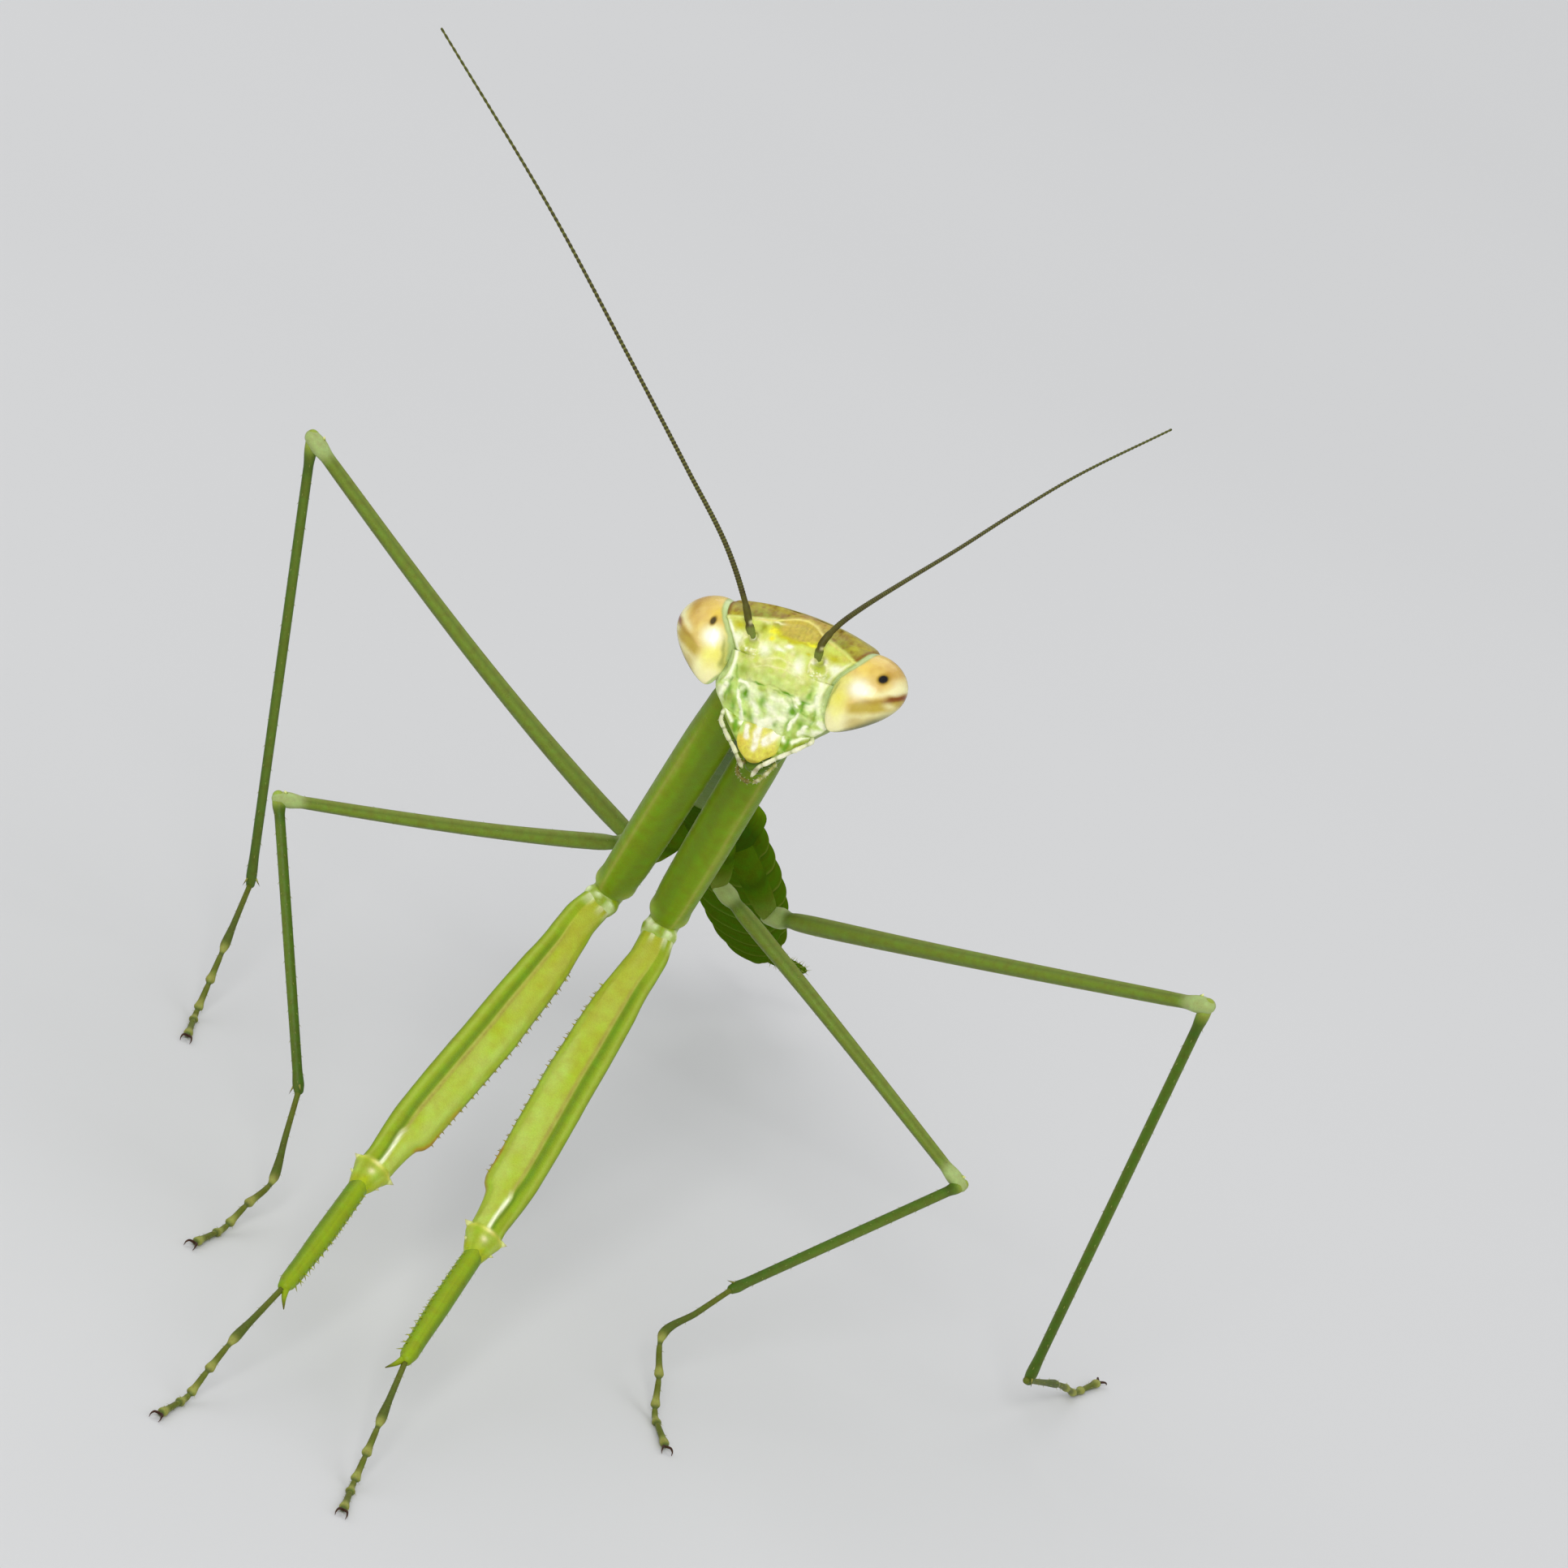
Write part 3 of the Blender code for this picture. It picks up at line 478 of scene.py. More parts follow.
# %% Heights and hollows of the face
wx = x + 0.03 * cloud(x, z, 0.17, 1) + 0.014 * cloud(x, z, 0.06, 2)
wz = z + 0.03 * cloud(x, z, 0.17, 3) + 0.014 * cloud(x, z, 0.06, 4)
wa = np.abs(wx)
crown = z - crown_line(x)
upper_arch = wz - (-0.15 - 0.75 * (wx + 0.02) ** 2)
lower_arch = wz - (-0.32 - 0.45 * (wx - 0.08) ** 2)
socket = np.hypot(wa - 0.76, wz + 0.07)
root = np.hypot(a - 0.75, z - 0.08)
on_crown = ramp(crown, 0.02, 0.08)
SEAMS = [[(0.7, -0.83), (0.86, -0.78), (0.9, -0.6)], [(0.7, -0.83), (0.72, -0.98), (0.62, -1.2)],
         [(0.92, -0.84), (1.0, -1.08), (0.94, -1.32)]]
raised = (0.035 * bump(crown, 0.035) + 0.02 * bump(socket - 0.17, 0.035) + 0.03 * bump(root - 0.1, 0.03)
          - 0.05 * bump(root, 0.06) + 0.01 * bump(upper_arch, 0.035) * (1 - ramp(a, 0.3, 0.5))
          + 0.007 * bump(lower_arch, 0.04) * (1 - ramp(a, 0.4, 0.6))
          + 0.025 * bump(inside - 0.05, 0.045) * ramp(z, -1.2, -1.0)
          - 0.025 * on_crown * bump(a - 0.75, 0.03) - 0.02 * on_crown * bump(x, 0.02)
          - 0.025 * bump(wz + 0.77 - 0.03 * np.cos(7 * x), 0.028) * (1 - ramp(a, 0.5, 0.65))
          - 0.04 * ramp(crown, -0.4, -0.3) * (1 - ramp(crown, -0.1, -0.02)) * (1 - ramp(a, 0.5, 0.65))
          + 0.045 * near_spot(x, z, (0.0, -0.55), 0.42, 0.2)
          - 0.035 * near_spot(wa, wz, (0.54, -1.08), 0.09, 0.12)
          + 0.04 * near_line(wa, wz, [(0.68, -1.06), (0.46, -1.6)], 0.05)
          + 0.03 * near_spot(wa, wz, (0.3, -1.1), 0.12, 0.2)
          - 0.03 * near_spot(wx, wz, (-0.12, -1.11), 0.07, 0.16)
          + 0.03 * near_spot(a, z, (0.86, -0.62), 0.1, 0.16) + 0.03 * near_spot(a, z, (0.85, -1.15), 0.1, 0.2)
          + 0.015 * near_spot(a, z, (0.4, 0.28), 0.1))
for seam in SEAMS:
    raised = raised - 0.02 * near_line(wa, wz, seam, 0.03)
folds = ramp(-z, 0.5, 0.9)
raised += (0.008 + 0.022 * folds) * cloud(x, z, 0.13, 5) + (0.004 + 0.006 * folds) * cloud(x, z, 0.05, 6)
y -= raised * front
print("landmarks stand", round(float(raised.max()), 3), "mm out and", round(float(-raised.min()), 3), "mm in")

# %% [markdown]
# ### Colours of the face
# The crown is olive and tan with brown corners, a straw-coloured ridge parts it from the face, and below it a
# tan crescent with a yellow lower edge sits between the feelers. The face goes from yellow between the
# feelers to a minty green on the cheeks. White highlights are painted on it as glints, streaks and spots, and
# dark green is painted as shade in its seams and in the hollows around the mouth.

# %% Paint the upper half of the face
tones = plain(x.shape, "leaf_light")


def lay(name, share):
    """Lays a swatch over the head, by a share at each point."""
    tones[:] = paint(tones, name, share)


def touch(name, strength, places):
    """Lays a swatch on the face in soft spots of (place, width, height)."""
    for at, wide, high in places:
        lay(name, strength * front * near_spot(wx, wz, at, wide, high))


lay("cheek", front)
lay("shield", front * ramp(wz, -1.05, -0.7) * (1 - ramp(wa, 0.6, 0.85)))
lay("face", front * ramp(wz, -0.62, -0.22))
lay("leaf_light", front * (0.1 + 0.35 * cloud(x, z, 0.13, 7)) * ramp(z, -0.75, -0.55)
    * (1 - ramp(z, 0.0, 0.2)))
lay("cream", front * (0.22 + 0.5 * cloud(x, z, 0.1, 8)) * ramp(z, -0.8, -0.3) * (1 - ramp(z, 0.05, 0.25)))
touch("lime", 0.5, [((-0.8, -0.35), 0.14, 0.14), ((0.76, -0.12), 0.2, 0.13), ((-0.42, -0.42), 0.13, 0.06),
                    ((0.4, -0.36), 0.1, 0.05)])
touch("cheek", 0.6, [((-0.04, -0.62), 0.34, 0.1)])
# painted highlights: white patches and small ivory spots on the face and on the rings of the feeler sockets
touch("white", 1.1, [((-0.46, -0.08), 0.15, 0.11), ((0.36, -0.18), 0.12, 0.17), ((-1.06, -0.06), 0.1, 0.1),
                     ((1.1, 0.02), 0.16, 0.09), ((0.92, -0.38), 0.07, 0.16), ((-0.12, 0.02), 0.12, 0.05)])
touch("ivory", 1.5, [((0.04, 0.13), 0.075, 0.05), ((0.84, 0.1), 0.05, 0.05), ((0.64, 0.0), 0.045, 0.05),
                     ((-0.76, 0.03), 0.05, 0.05)])
edge_below = wz - (0.22 + 0.5 * (wx - 0.02) ** 2)
between_feelers = front * (1 - ramp(wa - 0.04 * np.sign(wx), 0.5, 0.62))
lay("crescent", between_feelers * ramp(edge_below, 0.0, 0.06))
lay("crescent_green", between_feelers * ramp(edge_below, -0.06, 0.02) * ramp(-wx, 0.3, 0.46))
lay("tan_dark", between_feelers * ramp(edge_below, 0.03, 0.1) * (0.1 + 0.4 * cloud(3 * x + z, z, 0.1, 10)))
lay("saffron", between_feelers * bump(edge_below - 0.02, 0.05))
touch("crescent_green", 1.0, [((-0.66, 0.3), 0.11, 0.1)])
touch("cream", 0.9, [((-0.72, 0.42), 0.16, 0.035), ((-0.44, 0.5), 0.12, 0.03)])
touch("bright_yellow", 1.1, [((-0.46, 0.3), 0.1, 0.08), ((-0.38, 0.15), 0.06, 0.06),
                             ((0.46, 0.31), 0.12, 0.03)])
touch("saffron", 0.95, [((1.02, 0.23), 0.19, 0.08), ((-1.12, 0.18), 0.13, 0.08), ((0.46, 0.12), 0.07, 0.04)])
touch("lemon", 0.9, [((1.22, 0.3), 0.12, 0.05), ((-1.2, 0.06), 0.06, 0.06)])
lay("lime", 0.55 * front * bump(socket, 0.12))
lay("cream", front * bump(socket - 0.17, 0.028) * (0.55 + 0.6 * cloud(x, z, 0.045, 11)))
# painted highlights: white flecks on the lower side of each feeler socket
lay("white", front * bump(socket - 0.15, 0.1) * ramp(-wz, 0.12, 0.22) * ramp(cloud(x, z, 0.03, 18), 0.1, 0.6))
lay("straw", 0.7 * front * bump(root - 0.09, 0.035))
print("painted the face between and below the feelers")

# %% Paint the crown, its ridge and the two arches
lay("vertex", on_crown)
for name, strength, at, wide, high in [
        ("vertex_green", 1.0, (-0.82, 0.55), 0.26, 0.1), ("olive_grey", 0.7, (-1.02, 0.46), 0.16, 0.06),
        ("vertex_brown", 0.8, (-0.46, 0.64), 0.1, 0.06), ("saffron", 0.5, (-0.32, 0.58), 0.08, 0.05),
        ("vertex_pink", 0.9, (-0.02, 0.74), 0.2, 0.07), ("vertex_pink", 0.8, (0.36, 0.7), 0.22, 0.06),
        ("vertex_brown", 0.6, (0.14, 0.76), 0.08, 0.05), ("saffron", 0.7, (0.52, 0.6), 0.12, 0.05),
        ("vertex_green", 1.0, (0.98, 0.5), 0.22, 0.1), ("saffron", 0.5, (1.24, 0.54), 0.14, 0.07),
        ("vertex_brown", 0.8, (1.18, 0.36), 0.12, 0.04), ("saffron", 0.5, (-1.3, 0.38), 0.1, 0.07)]:
    lay(name, strength * on_crown * near_spot(wx, wz, at, wide, high))
lay("vertex_brown", on_crown * (0.14 + 0.6 * cloud(x, z, 0.07, 12) + 0.3 * cloud(x, z, 0.03, 13)))
lay("vertex_brown", 1.1 * on_crown * bump(inside - 0.03, 0.06))
lay("ridge", bump(crown, 0.022) * front * (1 - 0.7 * ramp(np.abs(x - 0.04), 0.7, 1.1)))
lay("cream", 0.5 * front * bump(upper_arch, 0.02) * (1 - ramp(a, 0.3, 0.45)))
lay("cream", 0.45 * front * bump(lower_arch, 0.02) * (1 - ramp(a, 0.45, 0.6)))
print("painted down to the shield")

# %% Paint the lower half of the face
# dark green painted as shade along the seams of the cheeks
crease_shade = sum(near_line(wa, wz, seam, 0.026) for seam in SEAMS)
lay("leaf_light", front * folds * (0.12 + 0.5 * cloud(x, z, 0.1, 15)))
# painted highlights: white flecks over the folds of the lower face, and soft white patches
lay("white", front * folds * (0.1 + 0.55 * cloud(x, z, 0.15, 16)))
touch("white", 0.55, [((0.16, -1.08), 0.2, 0.2), ((-0.42, -1.02), 0.1, 0.2), ((1.04, -0.8), 0.08, 0.22)])
lay("forest", 0.6 * front * crease_shade * (0.8 + 0.5 * cloud(x, z, 0.12, 14)))
# dark green spots painted as shade in the hollows and in the groove below the shield
touch("forest", 1.1, [((-0.54, -1.05), 0.07, 0.12), ((0.5, -1.05), 0.1, 0.1), ((-0.33, -0.77), 0.13, 0.026),
                      ((0.31, -0.77), 0.14, 0.028), ((0.7, -0.85), 0.05, 0.08), ((-0.62, -0.86), 0.06, 0.04)])
touch("forest", 0.8, [((-0.14, -1.1), 0.07, 0.17), ((-0.26, -1.49), 0.1, 0.07), ((0.22, -1.47), 0.08, 0.05),
                      ((0.8, -1.28), 0.08, 0.11), ((0.76, -0.62), 0.05, 0.14), ((-0.93, -1.1), 0.07, 0.15),
                      ((0.72, -0.98), 0.05, 0.07), ((-0.76, -1.4), 0.06, 0.16), ((0.5, -1.34), 0.06, 0.12),
                      ((-0.46, -1.46), 0.06, 0.06)])
touch("leaf_light", 0.8, [((-0.72, -0.62), 0.13, 0.1), ((-0.94, -1.28), 0.1, 0.1), ((0.98, -1.06), 0.1, 0.05),
                          ((0.94, -1.44), 0.16, 0.04)])
# a thin dark green line painted as shade along the crease under the shield
lay("forest", 0.45 * front
    * near_line(wx, wz, [(0.05, -0.8), (0.44, -0.82), (0.6, -1.0), (0.86, -1.06)], 0.016))
# painted highlights: white streaks and spots where the crumpled face catches the light
GLINTS = [
    ([(-0.7, -1.08), (-0.6, -1.34), (-0.46, -1.62)], 0.042, 1.6),
    ([(0.66, -1.08), (0.62, -1.26), (0.52, -1.42)], 0.04, 1.6),
    ([(0.56, -0.8), (0.62, -0.85)], 0.04, 1.6), ([(0.58, -0.94), (0.62, -0.96)], 0.025, 1.0),
    ([(-0.74, -0.82), (-0.52, -0.88)], 0.04, 1.4), ([(0.95, -0.62), (0.86, -0.9)], 0.06, 0.9),
    ([(1.14, -1.1), (1.26, -1.18)], 0.055, 1.5), ([(0.02, -0.93), (0.4, -0.98)], 0.06, 0.9),
    ([(-0.34, -1.2), (-0.2, -1.36)], 0.07, 1.0), ([(0.02, -1.16), (0.36, -1.28), (0.1, -1.38)], 0.06, 0.9),
    ([(-0.12, -1.52), (0.12, -1.44)], 0.09, 1.5), ([(0.9, -1.28), (0.78, -1.46)], 0.04, 1.3),
    ([(1.05, -1.34), (1.2, -1.28)], 0.05, 1.0), ([(-1.02, -1.0), (-1.1, -1.24)], 0.05, 1.1)]
for line, width, strength in GLINTS:
    lay("white", strength * front * near_line(wx, wz, line, width))
# a painted highlight along the edge of the face beside each eye, stronger on the animal's right
highlight_beside_eye = front * bump(inside - 0.06, 0.045)
lay("white", highlight_beside_eye * ramp(z, -1.05, -0.8) * (1 - ramp(z, 0.1, 0.35)) * np.where(x < 0, 1.2, 0.6))
on_rim = front * ramp(-inside, -0.01, 0.02)
lay("rim", on_rim * ramp(z, -1.3, -1.1))
lay("rim_grey", 0.35 * on_rim * (0.4 + cloud(x, z, 0.12, 17))
    + 0.5 * front * bump(inside, 0.014) * ramp(z, -0.8, -0.5))
lay("vertex", (1 - front) * ramp(z, 0.5, 0.75))
put("head", [skin(on_head(np.stack([x, y, z], -1)), tones)], "face_cuticle")

# %% [markdown]
# ## The eyes
# A mantis eye is thousands of tiny lenses on an egg-shaped dome. The small dark dot is no real pupil: it is
# the spot where one looks straight down the lenses. On the real animal it follows the watcher, and on a still
# model it is part of the colour. The dome is tan above, with a brown band across it and cream below, and a
# clear wet gloss over all of it. A highlight is painted on its front in cream and white, and shade is painted
# along its lower edges. The lenses are far too fine to model, so they are a low bump.

# %% The egg of an eye
EYE_ROWS, EYE_AROUND = 190, 240
rise = np.linspace(0.01, math.pi - 0.01, EYE_ROWS)[:, None]
spin = (np.arange(EYE_AROUND) * 2 * math.pi / EYE_AROUND)[None, :]
# a sphere, stretched along its lean and wider where it is higher
long = -np.cos(rise) * np.ones_like(spin)
egg = 1 + EYE_EGG * long
wide = np.sin(rise) * np.cos(spin) * EYE_WIDE * egg
ex = EYE_CENTRE[0] + wide * math.cos(EYE_LEAN) + long * EYE_LONG * math.sin(EYE_LEAN)
ez = EYE_CENTRE[2] + long * EYE_LONG * math.cos(EYE_LEAN) - wide * math.sin(EYE_LEAN)
ey = EYE_CENTRE[1] + (np.sin(rise) * np.sin(spin) * EYE_DEEP * egg + EYE_SWING * long)
ahead = 1 - ramp(np.sin(spin), 0.0, 0.25) * np.ones_like(ex)
print("an eye is", round(float(np.ptp(ex)), 2), "mm wide and", round(float(np.ptp(ez)), 2), "mm high")

# %% Band, rim, painted highlight and dot
BAND = [(0.9, -0.64), (1.4, -0.54), (1.7, -0.45), (1.85, -0.38), (2.0, -0.33), (2.16, -0.26), (2.33, -0.18),
        (2.46, -0.1),
        (2.6, 0.02)]
DOT = {"right": (1.65, 0.1), "left": (2.12, 0.18)}
# where a highlight is painted on each eye, as a place seen from the front
PAINTED_HIGHLIGHT = {"right": (1.55, -0.2), "left": (1.77, -0.15)}
DOT_SIZE = {"right": (0.06, 0.088), "left": (0.095, 0.092)}
DOT_DEPTH = {"right": 0.82, "left": 1.0}


def eye(side_name):
    """Paints the egg by where its points are, and sets it on one side of the head."""
    side, (dot_x, dot_z), (dot_wide, dot_high) = SIDES[side_name], DOT[side_name], DOT_SIZE[side_name]
    painted_highlight = PAINTED_HIGHLIGHT[side_name]
    soft = 0.03 * cloud(ex, ez, 0.15, 21)
    from_band = ez + soft - between(BAND, ex)[..., 0]
    from_rim = ex + soft - between(EYE_RIM, ez)[..., 0]
    t = plain(ex.shape, "peach")
    t = paint(t, "eye_pink", 0.9 * near_spot(ex, ez, (2.22, 0.36), 0.18, 0.22)
              + 0.3 + 0.3 * cloud(ex, ez, 0.1, 22))
    t = paint(t, "amber", 0.9 * near_spot(ex, ez, (1.68, 0.24), 0.18, 0.14))
    t = paint(t, "eye_brown", 0.35 * near_spot(ex, ez, (2.18, 0.22), 0.16, 0.14))
    t = paint(t, "eye_yellow", 0.9 * (1 - ramp(ex, 1.5, 1.8)) * (1 - ramp(ez, -0.1, 0.15)))
    t = paint(t, "cream", 0.8 * bump(from_band - 0.13, 0.09) * ramp(ex, 1.85, 2.15)
              + 0.9 * near_spot(ex, ez, (2.42, 0.14), 0.12, 0.17))
    t = paint(t, "cream", ramp(-from_band, 0.05, 0.34))
    t = paint(t, "eye_olive", ramp(ex, 1.6, 1.8) * ramp(-from_band, 0.0, 0.07)
              * (1 - ramp(-from_band, 0.18, 0.36)))
    t = paint(t, "eye_olive", 0.45 * ramp(ex, 1.62, 1.9) * ramp(-from_band, 0.25, 0.4))
    t = paint(t, "bright_yellow", 0.45 * near_spot(ex, ez, (1.42, -0.46), 0.12, 0.14))
    t = paint(t, "eye_yellow", 0.6 * near_spot(ex, ez, (1.46, -0.72), 0.14, 0.2))
    t = paint(t, "eye_brown", 0.8 * ramp(ex, 1.75, 2.0) * bump(from_band + 0.02, 0.055))
    t = paint(t, "eye_red", 1.1 * ramp(ex, 2.22, 2.42) * bump(from_band, 0.07))
    t = paint(t, "cream", 0.7 * near_spot(ex, ez, (2.4, -0.3), 0.1, 0.07))
    t = paint(t, "tan_dark", 0.45 * (1 - ahead))
    # painted shade: browner towards the bottom of the eye, and dark olive along its lower outer edge
    t = paint(t, "eye_brown", 0.35 * ramp(-ez, 0.6, 0.85) * ramp(ex, 1.6, 1.85))
    t = paint(t, "olive_dark", 0.75 * ramp(-from_band, 0.2, 0.5) * ramp(np.sin(spin), -0.72, -0.2)
              * ramp(wide, -0.1, 0.3))
    # a highlight painted on the front of the eye: a cream patch with a white middle
    t = paint(t, "cream", 0.95 * ahead * near_spot(ex, ez, painted_highlight, 0.24, 0.21))
    t = paint(t, "ivory", 1.5 * ahead * near_spot(ex, ez, painted_highlight, 0.16, 0.15))
    # painted shade: an olive line along the lower inner margin, where the eye dips to the face
    t = paint(t, "olive_grey", 0.6 * ahead * bump(from_rim - 0.17, 0.04) * (1 - ramp(ez, -0.3, -0.05))
              * ramp(ez, -0.85, -0.65))
    t = paint(t, "rim", ahead * (1 - ramp(from_rim, 0.09, 0.13)))
    t = paint(t, "rim_grey", 0.6 * ahead * bump(from_rim - 0.11, 0.025))
    level = between(CAPSULE, ez)
    outline = (ex / level[..., 0]) ** OVAL_POWER + (np.abs(ey) / level[..., 2]) ** OVAL_POWER
    t = paint(t, "rim", (1 - ahead) * (1 - ramp(outline, 1.15, 1.3)))
    dot = np.hypot((ex - dot_x) / dot_wide, (ez - dot_z) / dot_high)
    t = paint(t, "eye_brown", 0.8 * ahead * (1 - ramp(dot, 0.9, 1.6)))
    t = paint(t, "pupil", DOT_DEPTH[side_name] * ahead * (1 - ramp(dot, 0.65, 1.15)))
    shape = on_head(np.stack([ex * side, ey, ez], -1))
    put("eye_" + side_name, [skin(shape, t)], "eye")


for side_name in SIDES:
    eye(side_name)

# %% [markdown]
# ## Tubes: feelers, neck and legs
# Most of an insect is tubes that change in width. A tube here is a profile carried along a path. Each row of
# the profile gives the reach to the inner side and to the outer side, and half the thickness across them. The
# ends are rounded by rows that shrink as a cosine while they move out as a sine.

# %% Carry a profile along a path
GOLDEN_ANGLE = 137.5
CAP = np.radians([84, 70, 54, 36, 18])
SPINE_ROOT = 0.92


class Tube:
    """A grid around a path, with what is needed to paint it and to set spines on it."""

    def __init__(self, path, profile, facing=(0.0, 0.0, 1.0), rows=60, around=18, power=2.0):
        corners = np.array(path, dtype=float)
        lengths = np.concatenate([[0.0], np.cumsum(np.linalg.norm(np.diff(corners, axis=0), axis=1))])
        self.t = np.linspace(0, 1, rows)
        middle = between(np.column_stack([lengths / lengths[-1], corners]), self.t)
        self.ahead = unit(np.gradient(middle, axis=0))
        self.inward = unit(np.cross(self.ahead, np.array(facing, dtype=float)))
        self.flat = np.cross(self.inward, self.ahead)
        self.middle, self.sizes = middle, between(profile, self.t)
        index = np.concatenate([np.zeros(len(CAP), int), np.arange(rows), np.full(len(CAP), rows - 1)])
        first, last = self.sizes[0].min(), self.sizes[-1].min()
        shift = np.concatenate([-first * np.sin(CAP), np.zeros(rows), last * np.sin(CAP[::-1])])[:, None]
        shrink = np.concatenate([np.cos(CAP), np.ones(rows), np.cos(CAP[::-1])])[:, None]
        self.spin = (np.arange(around) * 2 * math.pi / around)[None, :]
        self.c = np.sign(np.cos(self.spin)) * np.abs(np.cos(self.spin)) ** (2 / power)
        self.s = np.sign(np.sin(self.spin)) * np.abs(np.sin(self.spin)) ** (2 / power)
        size = self.sizes[index] * shrink
        wide, off = (size[:, :1] + size[:, 1:2]) / 2, (size[:, :1] - size[:, 1:2]) / 2
        self.along = self.t[index][:, None] * np.ones_like(self.spin)
        self.index = index
        self.grid = (middle[index] + self.ahead[index] * shift)[:, None] + (
            self.inward[index][:, None] * (off + self.c * wide)[..., None]
            + self.flat[index][:, None] * (self.s * size[:, 2:3])[..., None])
        self.across = self.c * np.ones_like(self.along)

    def swell(self, amount):
        """Moves every point out by an amount, square to the path."""
        out = (self.inward[self.index][:, None] * self.c[..., None]
               + self.flat[self.index][:, None] * self.s[..., None])
        self.grid = self.grid + out * np.asarray(amount)[..., None]

    def at(self, where, spin_degrees):
        """Places on the tube's surface, and the way out from it there."""
        where = np.atleast_1d(where).astype(float)
        spin = np.radians(np.atleast_1d(spin_degrees).astype(float))
        row = where * (len(self.t) - 1)
        low = np.clip(row.astype(int), 0, len(self.t) - 2)
        part = (row - low)[:, None]
        read = lambda table: table[low] * (1 - part) + table[low + 1] * part
        size, inward, flat = read(self.sizes), read(self.inward), read(self.flat)
        c, sn = np.cos(spin)[:, None], np.sin(spin)[:, None]
        out = inward * c + flat * sn
        reach = inward * np.where(c > 0, c * size[:, :1], c * size[:, 1:2]) + flat * sn * size[:, 2:3]
        return read(self.middle) + reach * SPINE_ROOT, unit(out), read(self.ahead)

    def spines(self, where, spin, lean, length, thick, name, tip_name=None, sides=5):
        """Spines that stand on the tube and lean towards its end."""
        roots, out, on = self.at(where, spin)
        return spines(roots, out + lean * on, length, thick, name, tip_name, sides)

    def hairs(self, first, last, count, lean, length, thick, name="straw", each=1):
        """Fine spines along the tube, each one a golden angle further round it than the last."""
        where = np.repeat(np.linspace(first, last, count), each)
        return self.spines(where, np.arange(count * each) * GOLDEN_ANGLE, lean, length, thick, name, sides=4)

    def skin(self, tones):
        """The closed skin of the tube in its tones."""
        return skin(self.grid, tones)


def round_rows(*rows):
    """A round profile from pairs of place and radius."""
    return [(place, radius, radius, radius) for place, radius in rows]


def oval_rows(*rows):
    """A profile with both reaches alike, from place, reach and half the thickness."""
    return [(place, reach, reach, thick) for place, reach, thick in rows]


print("a plain tube has", Tube([(0, 0, 0), (1, 0, 0)], round_rows((0, 0.1), (1, 0.1))).grid.shape, "points")

# %% [markdown]
# ### Feelers
# A feeler stands in its socket on a thick first joint and a smaller second one. After them come well over a
# hundred tiny joints like beads. Near the root a bead is a twentieth of a millimetre long, and to the tip
# they grow three times longer, so the number of a bead is a logarithm of the place along the thread.

# %% Two beaded threads
FEELER_LINE = {
    "right": [(-0.81, -0.66, 0.07), (-0.9, -0.72, 0.22), (-1.1, -0.86, 0.64), (-1.79, -1.1, 1.61),
              (-2.97, -1.47, 2.81), (-4.71, -1.93, 4.51), (-7.21, -2.47, 6.86), (-10.47, -3.01, 9.56)],
    "left": [(0.66, -0.65, 0.09), (0.68, -0.8, 0.39), (0.78, -0.6, 0.8), (0.88, -0.11, 1.16),
             (1.12, 1.54, 1.98), (1.33, 3.5, 2.82), (1.52, 5.88, 3.82), (1.73, 8.27, 4.78),
             (2.22, 12.08, 6.2)],
}
BEADS_PER_LOG, BEAD_GROWTH = 127, 2.2
# length from the socket and radius, for the two thick joints and the start of the thread
FEELER_JOINTS = [(0.0, 0.085), (0.2, 0.09), (0.28, 0.066), (0.36, 0.078), (0.6, 0.074), (0.7, 0.06),
                 (1.5, 0.054), (3.5, 0.044)]


def feeler(side_name):
    """A bent thread whose radius swells and narrows once for each bead."""
    path = [on_head(np.array(point)) for point in FEELER_LINE[side_name]]
    length = np.linalg.norm(np.diff(path, axis=0), axis=1).sum()
    joints = [(mark / length, radius) for mark, radius in FEELER_JOINTS]
    tube = Tube(path, round_rows(*joints, (0.5, 0.036), (1.0, 0.022)),
                facing=(0.0, -1.0, 0.3), rows=1100, around=10)
    bead = (BEADS_PER_LOG * np.log1p(BEAD_GROWTH * tube.along)) % 1
    mark = tube.along * length
    beaded = ramp(mark, 0.7, 1.0)
    tube.swell(beaded * (0.009 * np.sin(math.pi * bead) - 0.004))
    t = plain(tube.along.shape, "feeler")
    t = paint(t, "feeler_dark", 0.75 * beaded * bump(bead - 0.5, 0.3))
    t = paint(t, "straw", 0.4 * beaded * (bump(bead, 0.1) + bump(bead - 1, 0.1))
              * ramp(tube.along, 0.05, 0.2))
    t = paint(t, "olive_grey", 0.8 * (1 - ramp(mark, 0.16, 0.26)))
    # a cream mark on one side of the feeler near its second joint is a painted highlight
    t = paint(t, "cream", 0.7 * bump(mark - 0.3, 0.04) * ramp(np.cos(tube.spin), -0.2, 0.6))
    t = paint(t, "horn", 0.4 * ramp(tube.along, 0.5, 1.0))
    put("feeler_" + side_name, [tube.skin(t)], "feeler", ["antenna_" + side_name])


for side_name in SIDES:
    feeler(side_name)

# %% [markdown]
# ## The mouth
# The upper lip is a rounded flap, yellow, with white highlights painted down its middle. On each side of it
# shows the shoulder of a jaw, and around them hang the palps: two long ones of five joints, whitish with
# darker tips, and two short ones below. A flap is made from its outline: points run from the middle out to
# the outline and back behind, and the front bulges as the root of what is left of the radius.

# %% Flaps from an outline
FRONT_RINGS = 22


